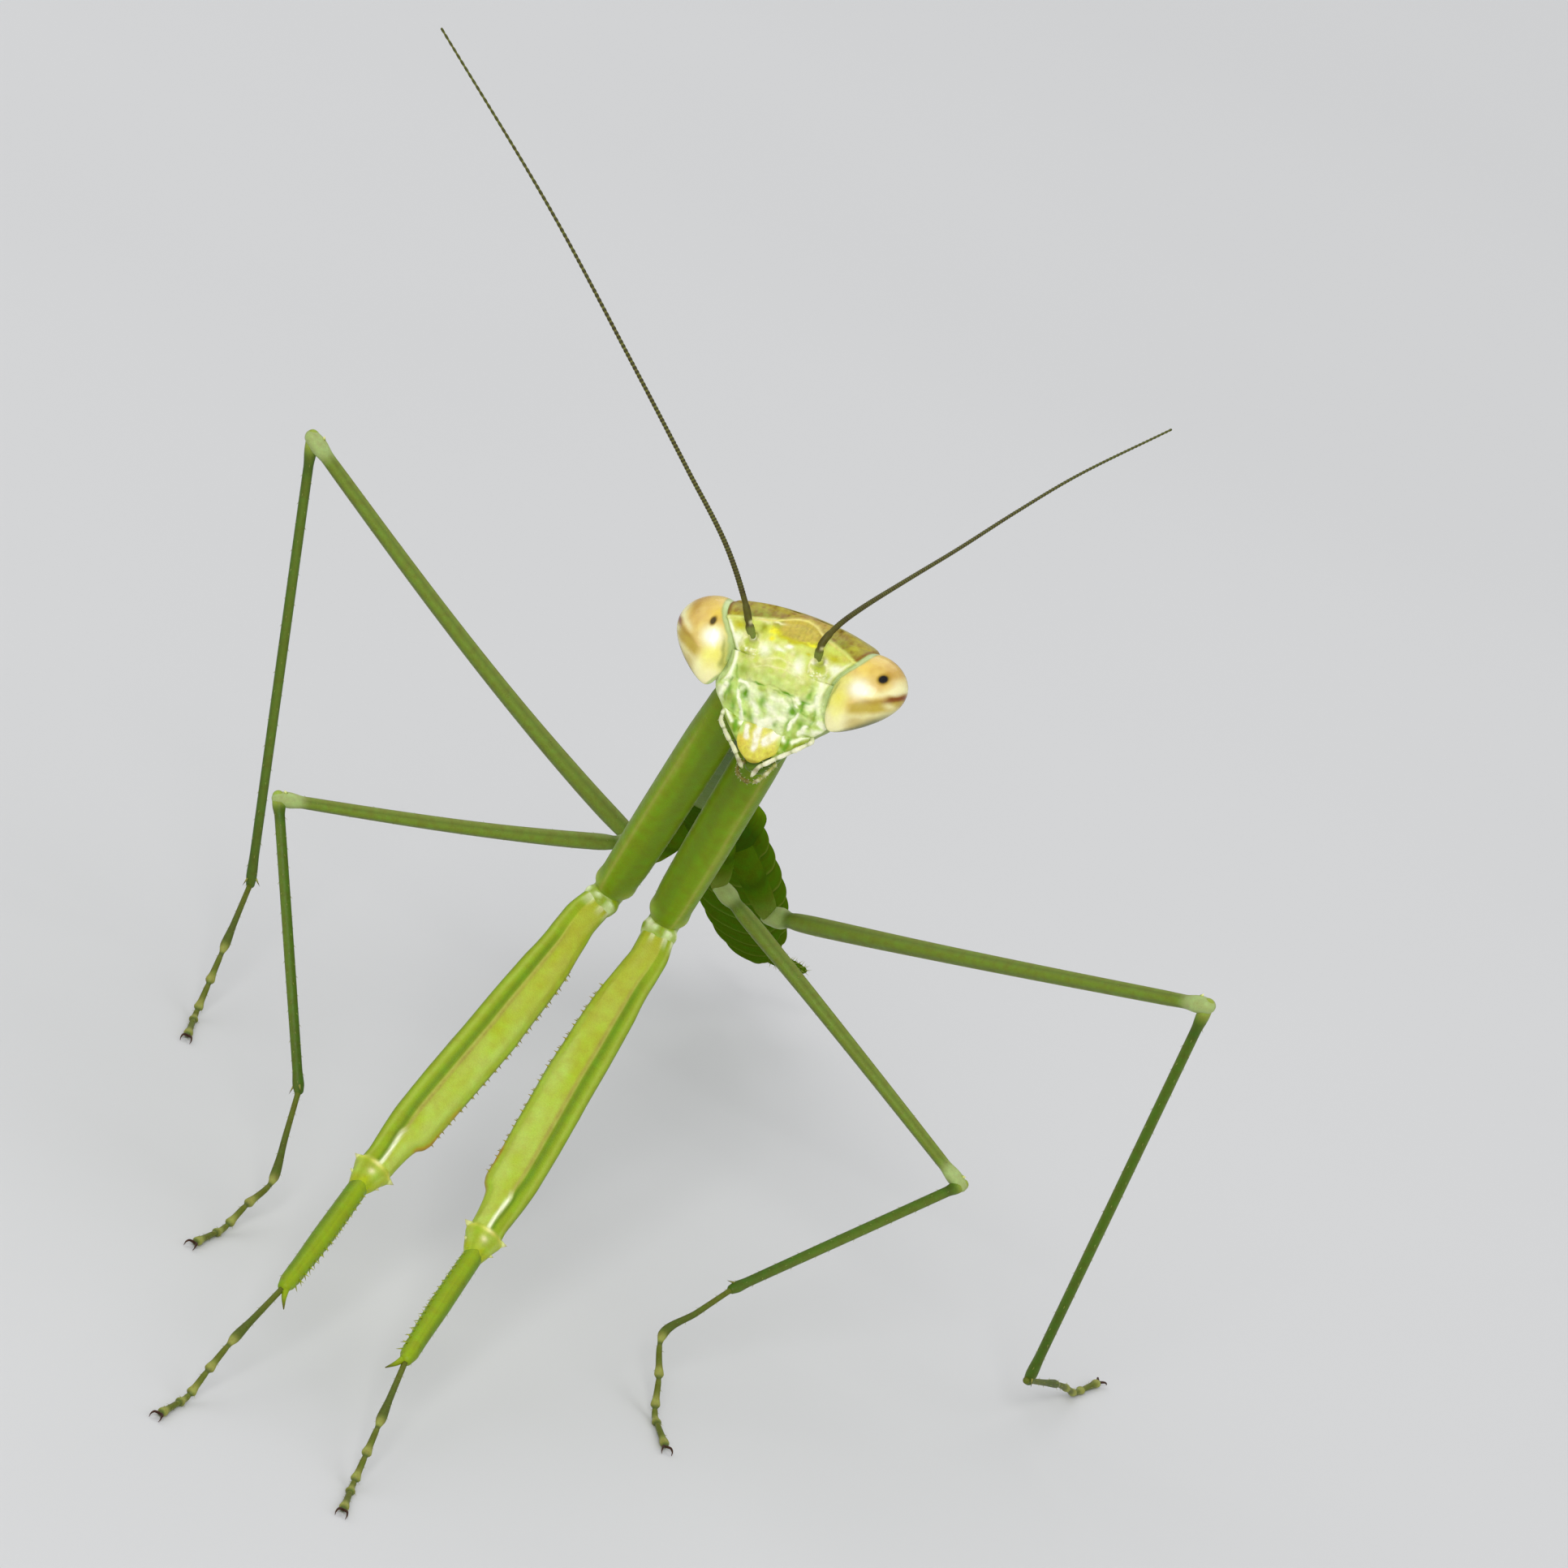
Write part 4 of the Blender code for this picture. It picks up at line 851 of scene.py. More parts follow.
def flap(outline, front, thick, dome, name):
    """A closed flap in the head's axes. Radius v goes out to the outline and back; depth is the dome at v."""
    ring = np.array(outline + outline[:1], dtype=float)
    lengths = np.concatenate([[0.0], np.cumsum(np.linalg.norm(np.diff(ring, axis=0), axis=1))])
    edge = between(np.column_stack([lengths / lengths[-1], ring]), np.arange(72) / 72)
    middle = edge.mean(0)
    v = np.concatenate([np.sin(np.linspace(0.02, math.pi / 2, FRONT_RINGS)),
                        np.sin(np.linspace(math.pi / 2, 0.02, 8))[1:]])
    back = np.arange(len(v)) >= FRONT_RINGS
    xz = middle + (edge - middle)[None] * v[:, None, None]
    depth = np.where(back, front + thick * np.sqrt(1 - v * v * 0.98),
                     front - dome * np.sqrt(1 - v * v * 0.999))
    grid = np.stack([xz[..., 0], np.broadcast_to(depth[:, None], xz[..., 0].shape), xz[..., 1]], -1)
    return grid, plain(grid.shape[:2], name)


print("a flap has", FRONT_RINGS, "rings in front")

# %% Upper lip
LIP = [(-0.45, -1.62), (-0.5, -1.84), (-0.42, -2.1), (-0.24, -2.27), (-0.04, -2.36), (0.09, -2.33),
       (0.25, -2.19), (0.44, -2.0), (0.48, -1.84), (0.42, -1.62), (0.0, -1.52)]
lip, t = flap(LIP, -0.52, 0.1, 0.09, "lemon")
lx, lz = lip[..., 0], lip[..., 2]
wlx, wlz = lx + 0.025 * cloud(lx, lz, 0.12, 31), lz + 0.025 * cloud(lx, lz, 0.12, 32)
t = paint(t, "lip", ramp(-wlz, 1.84, 2.0))
t = paint(t, "lip_orange", 0.8 * near_spot(wlx, wlz, (-0.34, -1.96), 0.12, 0.14))
t = paint(t, "cheek", ramp(np.abs(wlx - 0.02), 0.3, 0.44) * (1 - ramp(-wlz, 1.78, 1.95)))
t = paint(t, "lime", 0.6 * near_spot(wlx, wlz, (0.46, -1.86), 0.05, 0.12)
          + 0.7 * near_spot(wlx, wlz, (-0.22, -1.66), 0.06, 0.12)
          + 0.7 * near_spot(wlx, wlz, (0.17, -1.56), 0.05, 0.07))
# painted highlights: ivory streaks down the middle of the lip
LIP_GLINTS = [([(-0.3, -1.7), (-0.27, -1.88)], 0.05, 1.6),
              ([(-0.06, -1.5), (-0.06, -1.8), (-0.04, -2.04)], 0.06, 1.8),
              ([(0.34, -1.58), (0.14, -1.86)], 0.07, 1.8), ([(-0.1, -1.52), (0.1, -1.5)], 0.06, 1.2)]
for line, width, strength in LIP_GLINTS:
    t = paint(t, "ivory", strength * near_line(wlx, wlz, line, width))
t = paint(t, "lip_brown", 0.75 * ramp(-wlz, 2.25, 2.31))
t = paint(t, "saffron", 0.1 + 0.3 * cloud(lx, lz, 0.08, 33))
print("lip", round(float(np.ptp(lip[..., 0])), 2), "mm wide")

# %% Jaws at both sides of the lip
mouth = [skin(on_head(lip), t)]
for side in SIDES.values():
    jaw, t = flap([(0.38 * side, -1.46), (0.78 * side, -1.42), (1.05 * side, -1.42), (0.98 * side, -1.56),
                   (0.86 * side, -1.7), (0.66 * side, -1.9), (0.46 * side, -2.08), (0.34 * side, -2.16),
                   (0.3 * side, -1.8)], -0.4, 0.34, 0.17, "cheek")
    jx, jz = jaw[..., 0], jaw[..., 2]
    jx, jz = jx * side + 0.03 * cloud(jx, jz, 0.12, 34), jz + 0.03 * cloud(jx, jz, 0.12, 35)
    t = paint(t, "leaf_light", 0.5 + 0.6 * cloud(jx, jz, 0.08, 36))
    # dark green painted as shade in a crease and a hollow, and white streaks painted as highlights
    t = paint(t, "forest", 0.9 * near_line(jx, jz, [(0.6, -1.66), (0.56, -1.84)], 0.055)
              + 0.8 * near_spot(jx, jz, (0.52, -1.98), 0.05))
    t = paint(t, "white", 1.3 * near_line(jx, jz, [(0.4, -1.58), (0.48, -1.68)], 0.05)
              + 1.1 * near_line(jx, jz, [(0.92, -1.46), (0.68, -1.7)], 0.04))
    t = paint(t, "lime", 0.6 * near_line(jx, jz, [(1.05, -1.44), (0.86, -1.7), (0.46, -2.08)], 0.05))
    mouth.append(skin(on_head(jaw), t))
print(len(mouth), "flaps of the mouth")

# %% Palps and the lower lip
PALPS = [
    [(-0.82, -0.34, -1.46), (-0.93, -0.5, -1.6), (-0.91, -0.55, -1.73), (-0.77, -0.58, -1.89),
     (-0.63, -0.6, -2.02), (-0.44, -0.6, -2.18), (-0.3, -0.6, -2.33), (-0.14, -0.58, -2.5)],
    [(0.95, -0.34, -1.42), (1.06, -0.48, -1.52), (0.89, -0.55, -1.72), (0.7, -0.58, -1.9),
     (0.47, -0.6, -2.11), (0.33, -0.6, -2.25), (0.2, -0.6, -2.38), (0.11, -0.58, -2.6)],
    [(-0.18, -0.3, -2.36), (-0.28, -0.44, -2.53), (-0.2, -0.5, -2.66), (-0.02, -0.5, -2.74),
     (0.1, -0.5, -2.73)],
    [(0.34, -0.3, -2.18), (0.45, -0.42, -2.24), (0.38, -0.5, -2.43), (0.28, -0.5, -2.6), (0.16, -0.5, -2.72)],
]


def palp(path, radius, joints, tone):
    """A jointed feeler of the mouth: it swells to the end of each joint, and its tip darkens."""
    rows = [(0.0, radius * 0.9)]
    for k in range(joints):
        pinch = 0.84 if k < joints - 1 else 0.55
        rows += [((k + 0.75) / joints, radius * 1.08), ((k + 1) / joints, radius * pinch)]
    tube = Tube([on_head(np.array(p)) for p in path], round_rows(*rows), rows=joints * 14, around=14)
    t = plain(tube.along.shape, tone)
    part = (tube.along * joints) % 1
    # olive grey: the palp's own dark bands at the joints, plus painted shade on one side; ivory: a painted
    # highlight on the other side of each joint
    t = paint(t, "olive_grey", 0.6 * (bump(part, 0.09) + bump(part - 1, 0.06))
              + 0.25 * ramp(np.cos(tube.spin), 0.2, 1.0))
    t = paint(t, "ivory", 0.5 * bump(part - 0.6, 0.2) * ramp(-np.cos(tube.spin), 0.0, 0.8))
    t = paint(t, "palp_dark", 0.7 * bump(tube.along - 0.9, 0.05))
    t = paint(t, "leaf_light", 0.4 * (1 - ramp(tube.along, 0.0, 0.2)))
    return [tube.skin(t), tube.hairs(0.1, 0.98, 26, 0.6, 0.05, 0.006, "palp")]


mouth += palp(PALPS[0], 0.047, 5, "palp") + palp(PALPS[1], 0.047, 5, "palp")
mouth += palp(PALPS[2], 0.042, 3, "palp_dark") + palp(PALPS[3], 0.042, 3, "straw")
low_lip = Tube([on_head(np.array(p)) for p in [(0.02, 0.0, -1.45), (0.02, -0.1, -2.0), (0.02, -0.28, -2.45)]],
               oval_rows((0.0, 0.5, 0.3), (0.5, 0.46, 0.3), (0.85, 0.34, 0.2), (1.0, 0.22, 0.12)),
               facing=forward, rows=30, around=28)
low_tones = paint(plain(low_lip.along.shape, "leaf"), "olive", 0.5 * ramp(low_lip.along, 0.4, 1.0))
put("mouth", mouth + [low_lip.skin(low_tones)], "mouth_cuticle", ["mouthparts"])

# %% [markdown]
# ## The body
# Behind the head comes a soft wrinkled neck, then the long first ring of the thorax, which carries the
# grasping legs and widens where they are hinged. Two short rings carry the walking legs. In a young mantis no
# wings cover them. The abdomen is a row of rings that slide into each other like a telescope, so its width is
# a slow curve with a small step at the end of each ring, made by a saw of the place along it.

# %% Middle line of the body
NECK = np.array([-1.0, -6.2, 16.81])
PROTHORAX_LENGTH, PROTHORAX_PITCH = 9.4, -41.0
HIND_AZIMUTH = 168.9
PTEROTHORAX_LENGTH, PTEROTHORAX_PITCH = 4.5, -25.0
ABDOMEN_LENGTH, ABDOMEN_PITCH = 13.4, -31.0
ABDOMEN_RINGS = 9
WAIST = PROTHORAX_LENGTH + PTEROTHORAX_LENGTH
BODY_END = WAIST + ABDOMEN_LENGTH
prothorax_end = NECK + aim(180.0, PROTHORAX_PITCH) * PROTHORAX_LENGTH
waist_point = prothorax_end + aim(HIND_AZIMUTH, PTEROTHORAX_PITCH) * PTEROTHORAX_LENGTH
body_tip = waist_point + aim(HIND_AZIMUTH, ABDOMEN_PITCH) * ABDOMEN_LENGTH
BODY_AROUND, BODY_POWER, BEND_REACH = 72, 2.3, 0.5
BODY_LINE = [(0.0, *NECK), (PROTHORAX_LENGTH, *prothorax_end), (WAIST, *waist_point), (BODY_END, *body_tip)]


def on_body(marks):
    """Points of the middle line at lengths along it."""
    line = np.array(BODY_LINE)
    return np.stack([np.interp(marks, line[:, 0], line[:, k]) for k in (1, 2, 3)], 1)


def body_plate(name, start, end, outline, rows, colour, shape, slot="olive_cuticle", nodes=None):
    """A length of the body: ovals square to its middle line, wider above or below as the outline says."""
    marks = np.linspace(start, end, rows)
    middle = on_body(marks)
    ahead = unit(on_body(marks + BEND_REACH) - on_body(marks - BEND_REACH))
    across = unit(np.cross([0, 0, 1.0], -ahead))
    upward = np.cross(-ahead, across)
    half_wide, above, below = between(outline, marks).T[:, :, None]
    spin = (np.arange(BODY_AROUND) * 2 * math.pi / BODY_AROUND)[None, :]
    c, sn = np.cos(spin), np.sin(spin)
    c, sn = np.sign(c) * np.abs(c) ** (2 / BODY_POWER), np.sign(sn) * np.abs(sn) ** (2 / BODY_POWER)
    place = marks[:, None] * np.ones_like(spin)
    out = shape(place, spin)
    wide, rise = c * (half_wide + out), sn * (np.where(sn > 0, above, below) + out)
    grid = middle[:, None] + across[:, None] * wide[..., None] + upward[:, None] * rise[..., None]
    put(name, [skin(grid, colour(place, spin))], slot, nodes)


def closing(place, start, end, width, depth):
    """Draws a plate in at both ends, so that it closes round the next one."""
    return -depth * (1 - ramp(place, start, start + width)) - depth * ramp(place, end - width, end)


print("the body is", round(BODY_END, 1), "mm along its middle line")

# %% Neck and first ring of the thorax
NECK_RADIUS, NECK_FOLDS = 0.44, 62


def neck():
    """A tube in soft folds, a sine along it, which are deeper on some sides than on others."""
    start, end = on_head(np.array([0.1, 0.45, -0.45])), NECK + aim(180.0, PROTHORAX_PITCH) * 0.45
    tube = Tube([start, (start + end) / 2 + [0, 0, 0.03], end],
                round_rows((0, NECK_RADIUS), (1, NECK_RADIUS)), rows=70, around=40)
    tube.swell(0.022 * np.sin(tube.along * NECK_FOLDS) * (1 + 0.3 * np.sin(3 * tube.spin)))
    t = paint(plain(tube.along.shape, "leaf_light"), "leaf",
              0.5 + 0.5 * np.sin(tube.along * NECK_FOLDS + 2.5))
    put("neck", [tube.skin(t)], "green_cuticle")


PROTHORAX = [(-0.1, 0.56, 0.28, 0.3), (0.25, 0.68, 0.38, 0.4), (0.9, 0.84, 0.46, 0.46),
             (2.3, 1.02, 0.54, 0.5), (3.0, 0.92, 0.52, 0.48), (4.0, 0.74, 0.46, 0.44), (7.5, 0.62, 0.42, 0.4),
             (9.1, 0.72, 0.46, 0.48), (9.62, 0.66, 0.42, 0.42)]


def prothorax_shape(place, spin):
    """A keel along the back, a groove across it, and a toothed flange along both sides."""
    keel = 0.05 * bump(np.cos(spin), 0.1) * (np.sin(spin) > 0)
    groove = -0.05 * bump(place - 2.55, 0.12) * (np.sin(spin) > -0.2)
    flange = 0.05 * bump(np.sin(spin) - 0.05, 0.16)
    teeth = 0.018 * bump(np.sin(spin) - 0.05, 0.16) * np.maximum(np.sin(place * 17), 0)
    return keel + groove + flange + teeth + closing(place, PROTHORAX[0][0], PROTHORAX[-1][0], 0.2, 0.1)


def prothorax_colour(place, spin):
    """Green, painted darker below as shade, with a light keel and light flanges."""
    t = plain(place.shape, "leaf")
    t = paint(t, "leaf_dark", 0.6 * (np.sin(spin) < 0) + 0.3 * bump(np.abs(np.cos(spin)) - 0.45, 0.2))
    t = paint(t, "leaf_light", 0.7 * bump(np.cos(spin), 0.12) * (np.sin(spin) > 0)
              + 0.5 * bump(np.sin(spin) - 0.05, 0.12))
    return paint(t, "olive_grey", 0.3 * ramp(place, 7.0, 9.5))


neck()
body_plate("prothorax", PROTHORAX[0][0], PROTHORAX[-1][0], PROTHORAX, 260, prothorax_colour, prothorax_shape,
           "green_cuticle")

# %% Middle and hind rings of the thorax
HALF_WINGS = PROTHORAX_LENGTH + PTEROTHORAX_LENGTH / 2
WINGS = [(9.25, 0.62, 0.4, 0.44), (9.5, 0.72, 0.46, 0.56), (10.4, 0.88, 0.58, 0.78),
         (HALF_WINGS, 0.84, 0.56, 0.78), (WAIST - 0.9, 0.9, 0.58, 0.8), (WAIST, 0.76, 0.5, 0.64),
         (WAIST + 0.2, 0.7, 0.46, 0.58)]


def wing_ring(name, start, end):
    """One of the two rings: a domed back with a low pad on each side, and a keel."""
    def shape(place, spin):
        pads = (0.07 * bump(np.sin(spin) - 0.55, 0.25) * ramp(place, start + 0.4, start + 1.0)
                * (1 - ramp(place, end - 0.35, end - 0.1)))
        return (0.04 * bump(np.cos(spin), 0.1) * (np.sin(spin) > 0) + pads
                - 0.05 * bump(np.sin(spin) + 0.1, 0.08) + closing(place, start, end, 0.2, 0.08))

    def colour(place, spin):
        # the underside is painted darker as shade
        t = paint(plain(place.shape, "olive"), "olive_dark", 0.7 * (np.sin(spin) < -0.1))
        t = paint(t, "leaf", 0.5 * bump(np.sin(spin) - 0.55, 0.25))
        t = paint(t, "leaf_light", 0.5 * bump(np.cos(spin), 0.1) * (np.sin(spin) > 0))
        return paint(t, "olive_dark", 0.5 * bump(np.sin(spin) + 0.1, 0.08))

    body_plate(name, start, end, WINGS, 90, colour, shape)


RING_OVERLAP = 0.12
wing_ring("mesothorax", WINGS[0][0], HALF_WINGS + RING_OVERLAP)
wing_ring("metathorax", HALF_WINGS - RING_OVERLAP, WINGS[-1][0])

# %% Abdomen and its two tails
ABDOMEN = [(WAIST - 0.15, 0.66, 0.42, 0.54), (WAIST + 0.3, 0.76, 0.5, 0.62), (WAIST + 2.2, 0.88, 0.58, 0.7),
           (WAIST + 6.2, 1.06, 0.62, 0.8), (WAIST + 9.6, 0.94, 0.54, 0.66), (WAIST + 12.2, 0.6, 0.38, 0.42),
           (BODY_END - 0.05, 0.26, 0.2, 0.2)]
RING_LENGTH = ABDOMEN_LENGTH / ABDOMEN_RINGS


def abdomen_shape(place, spin):
    """Each ring widens to its end and steps in after it. Folds run along the sides, a keel along the back."""
    ring = ((place - WAIST) / RING_LENGTH) % 1
    step_out = 0.045 * ring ** 2 - 0.05 * bump(ring, 0.05) - 0.02
    side_fold = -0.05 * bump(np.sin(spin) + 0.15, 0.1)
    keel = 0.03 * bump(np.cos(spin), 0.08) * (np.sin(spin) > 0)
    return step_out + side_fold + keel


def abdomen_colour(place, spin):
    """Dark green, darker at the start of each ring and pale at its end, with a light keel."""
    ring = ((place - WAIST) / RING_LENGTH) % 1
    t = paint(plain(place.shape, "olive"), "olive_dark", 0.6 * (1 - ramp(ring, 0.0, 0.35)) * (place > WAIST))
    t = paint(t, "olive_grey", 0.5 * ramp(ring, 0.86, 0.97))
    t = paint(t, "leaf", 0.4 * bump(np.cos(spin), 0.25) * (np.sin(spin) > 0))
    t = paint(t, "leaf_light", 0.45 * bump(np.cos(spin), 0.05) * (np.sin(spin) > 0))
    # the underside is painted darker as shade
    return paint(t, "leaf_dark", 0.4 * (np.sin(spin) < -0.15))


body_plate("abdomen", ABDOMEN[0][0], ABDOMEN[-1][0], ABDOMEN, 420, abdomen_colour, abdomen_shape,
           nodes=["abdomen_front", "abdomen_middle", "abdomen_rear"])

TAIL_LENGTH, TAIL_OUT, TAIL_UP = 1.8, 24.0, 14.0
backward = unit(body_tip - waist_point)
for side_name, side in SIDES.items():
    root = body_tip - backward * 0.5 + np.array([0.33 * side, 0.0, 0.0])
    tail_way = aim(HIND_AZIMUTH - TAIL_OUT * side, ABDOMEN_PITCH + TAIL_UP)
    tail = Tube([root - backward * 0.35, root, root + tail_way * TAIL_LENGTH],
                oval_rows((0.0, 0.15, 0.14), (0.5, 0.17, 0.14), (0.9, 0.1, 0.09), (1.0, 0.05, 0.05)),
                rows=110, around=16)
    joints = (tail.along * 11) % 1
    tail.swell(0.022 * np.sin(math.pi * joints) - 0.008)
    t = paint(plain(tail.along.shape, "olive"), "olive_dark", 0.8 * bump(joints, 0.2))
    put("cercus_" + side_name, [tail.skin(t), tail.hairs(0.35, 0.98, 24, 0.5, 0.14, 0.01, each=3)],
        "olive_cuticle")

# %% [markdown]
# ## The grasping legs
# A grasping leg has five parts: a long strong coxa that hangs from the thorax, a small pale trochanter, the
# broad femur, the tibia and a thin foot. In the hunting animal the tibia folds against the femur, so both
# carry spines on the sides that meet. Here both legs are stretched out, as when a mantis reaches forward to
# climb, and they show their flat sides, with a tan ridge along each femur.
#
# Each part is a tube with a flat side. The inner side is the one that carries the spines.

# %% Lengths and turns of the legs
FORE_LENGTHS = {"coxa": 6.58, "femur": 8.25, "tibia": 4.26, "tarsus": 4.7}
MID_LENGTHS = {"femur": 8.29, "tibia": 6.22, "basitarsus": 2.1, "toes": 3.0}
HIND_LENGTHS = {"femur": 11.8, "tibia": 10.75, "tarsus": 4.7}
FORE_FEMUR = FORE_LENGTHS["femur"]
FORE_POSE = {
    "right": {"base": (-1.46, -5.06, 14.94), "coxa": (-166.8, -66.6), "femur": (-21.3, -42.4),
              "tibia": (-9.2, -19.4), "tarsus": (-16.8, -24.4)},
    "left": {"base": (-0.32, -5.06, 14.94), "coxa": (-169.7, -67.9), "femur": (-7.4, -44.2),
             "tibia": (-7.6, -19.3), "tarsus": (0.1, -20.8)},
}
MID_POSE = {
    "right": {"knot": (-1.78, 2.57, 8.26), "femur": (-64.6, -7.5), "tibia": (46.8, -49.9),
              "basitarsus": (10.5, -43.8), "toes": (-19.4, -19.1)},
    "left": {"knot": (0.11, 2.19, 8.3), "femur": (80.0, -25.2), "tibia": (-41.0, -24.5),
             "basitarsus": (-32.2, -27.4), "toes": (19.6, -24.2)},
}
HIND_POSE = {
    "right": {"knot": (-1.41, 5.43, 7.02), "femur": (-90.0, 28.4), "tibia": (107.6, -74.9),
              "tarsus": (2.0, -27.7)},
    "left": {"knot": (1.48, 4.88, 7.1), "femur": (55.0, 22.7), "tibia": (174.0, -76.7),
             "tarsus": (157.1, -15.6)},
}
BOW = {"mid": {"right": (0.0, 0.0, -0.13), "left": (0.0, 0.0, 0.04)},
       "hind": {"right": (-0.1, 0.0, -0.22), "left": (0.0, 0.0, -0.05)}}
FOOT_RADIUS = 0.085
print("a grasping leg is", sum(FORE_LENGTHS.values()), "mm long")

# %% Coxa of a grasping leg
COXA_IN_BODY = 0.35


def fore_coxa(side_name, base, hip, facing):
    """Three soft ridges run down the coxa: a cosine of three times the angle around it."""
    start = base + unit(base - hip) * COXA_IN_BODY
    rows = oval_rows((0.0, 0.34, 0.36), (0.1, 0.45, 0.46), (0.3, 0.49, 0.46), (0.6, 0.48, 0.44),
                     (0.86, 0.45, 0.41), (0.95, 0.4, 0.37), (1.0, 0.28, 0.27))
    tube = Tube([start, hip], rows, facing, rows=150, around=48)
    lobes = bump(tube.along - 0.955, 0.03) * np.abs(np.cos(tube.spin)) ** 3
    tube.swell(0.03 * np.cos(3 * tube.spin) * ramp(tube.along, 0.0, 0.15) * (1 - ramp(tube.along, 0.85, 1.0))
               + 0.05 * lobes)
    stripe = np.cos(3 * tube.spin + 0.2 * cloud(tube.along * 6, tube.spin, 0.8, 41))
    t = plain(tube.along.shape, "leaf")
    # painted shade in the grooves between the three ridges, and painted highlights along the ridges; the thin
    # tan lines are the coxa's own
    t = paint(t, "leaf_dark", 0.4 * bump(stripe + 1, 0.5))
    t = paint(t, "leaf_light", 0.45 * bump(stripe - 1, 0.25))
    t = paint(t, "leaf_light", 0.28)
    t = paint(t, "tan", 0.5 * bump(stripe - 1, 0.03) * ramp(tube.along, 0.1, 0.3))
    t = paint(t, "mint", 0.8 * lobes + 0.35 * ramp(tube.along, 0.95, 1.0))
    parts = [tube.skin(t)]
    for spin in (0, 120, 240):
        parts.append(tube.spines(np.linspace(0.12, 0.9, 13), spin, 0.5, 0.1, 0.022, "leaf_light", "mint"))
    put("fore_coxa_" + side_name, parts, "green_cuticle")

# %% Trochanter of a grasping leg
KNUCKLE_BACK, KNUCKLE_AHEAD = 0.25, 0.5


def fore_trochanter(side_name, hip, along, facing):
    """A small pale knuckle, ringed twice, with a soft lump on each side, and whitish-blue highlights painted
    in patches.
    """
    tube = Tube([hip - along * KNUCKLE_BACK, hip + along * KNUCKLE_AHEAD],
                [(0.0, 0.24, 0.24, 0.24), (0.25, 0.33, 0.36, 0.3), (0.42, 0.325, 0.35, 0.29),
                 (0.65, 0.36, 0.41, 0.3), (0.85, 0.34, 0.4, 0.28), (1.0, 0.28, 0.34, 0.24)],
                facing, rows=60, around=36)
    tube.swell(0.02 * np.cos(2 * tube.spin + 0.6) * bump(tube.along - 0.6, 0.2))
    # painted highlights: turquoise and white patches over the pale knuckle
    patches = cloud(tube.along * 0.75, tube.spin * 0.35, 0.16, 42)
    t = plain(tube.along.shape, "leaf_light")
    t = paint(t, "turquoise", 0.35 + 1.1 * patches)
    t = paint(t, "white", 0.6 * bump(tube.along - 0.62, 0.12) * ramp(patches, 0.1, 0.5))
    t = paint(t, "leaf", 0.5 * bump(tube.along - 0.42, 0.06) + 0.4 * bump(tube.along - 0.12, 0.08))
    put("fore_trochanter_" + side_name, [tube.skin(t)], "pale_cuticle")


# %% Femur of a grasping leg
KNEE_BELL = 0.62
FEMUR_SPINES = 27
# place, degrees round the bell, length and thickness of the blunt corners of the knee
BELL_HORNS = [(0.99, 8, 0.21, 0.12), (0.99, 172, 0.18, 0.11), (1.04, 5, 0.13, 0.07), (1.04, 178, 0.13, 0.07),
              (0.992, 60, 0.07, 0.08), (0.992, -60, 0.07, 0.08)]


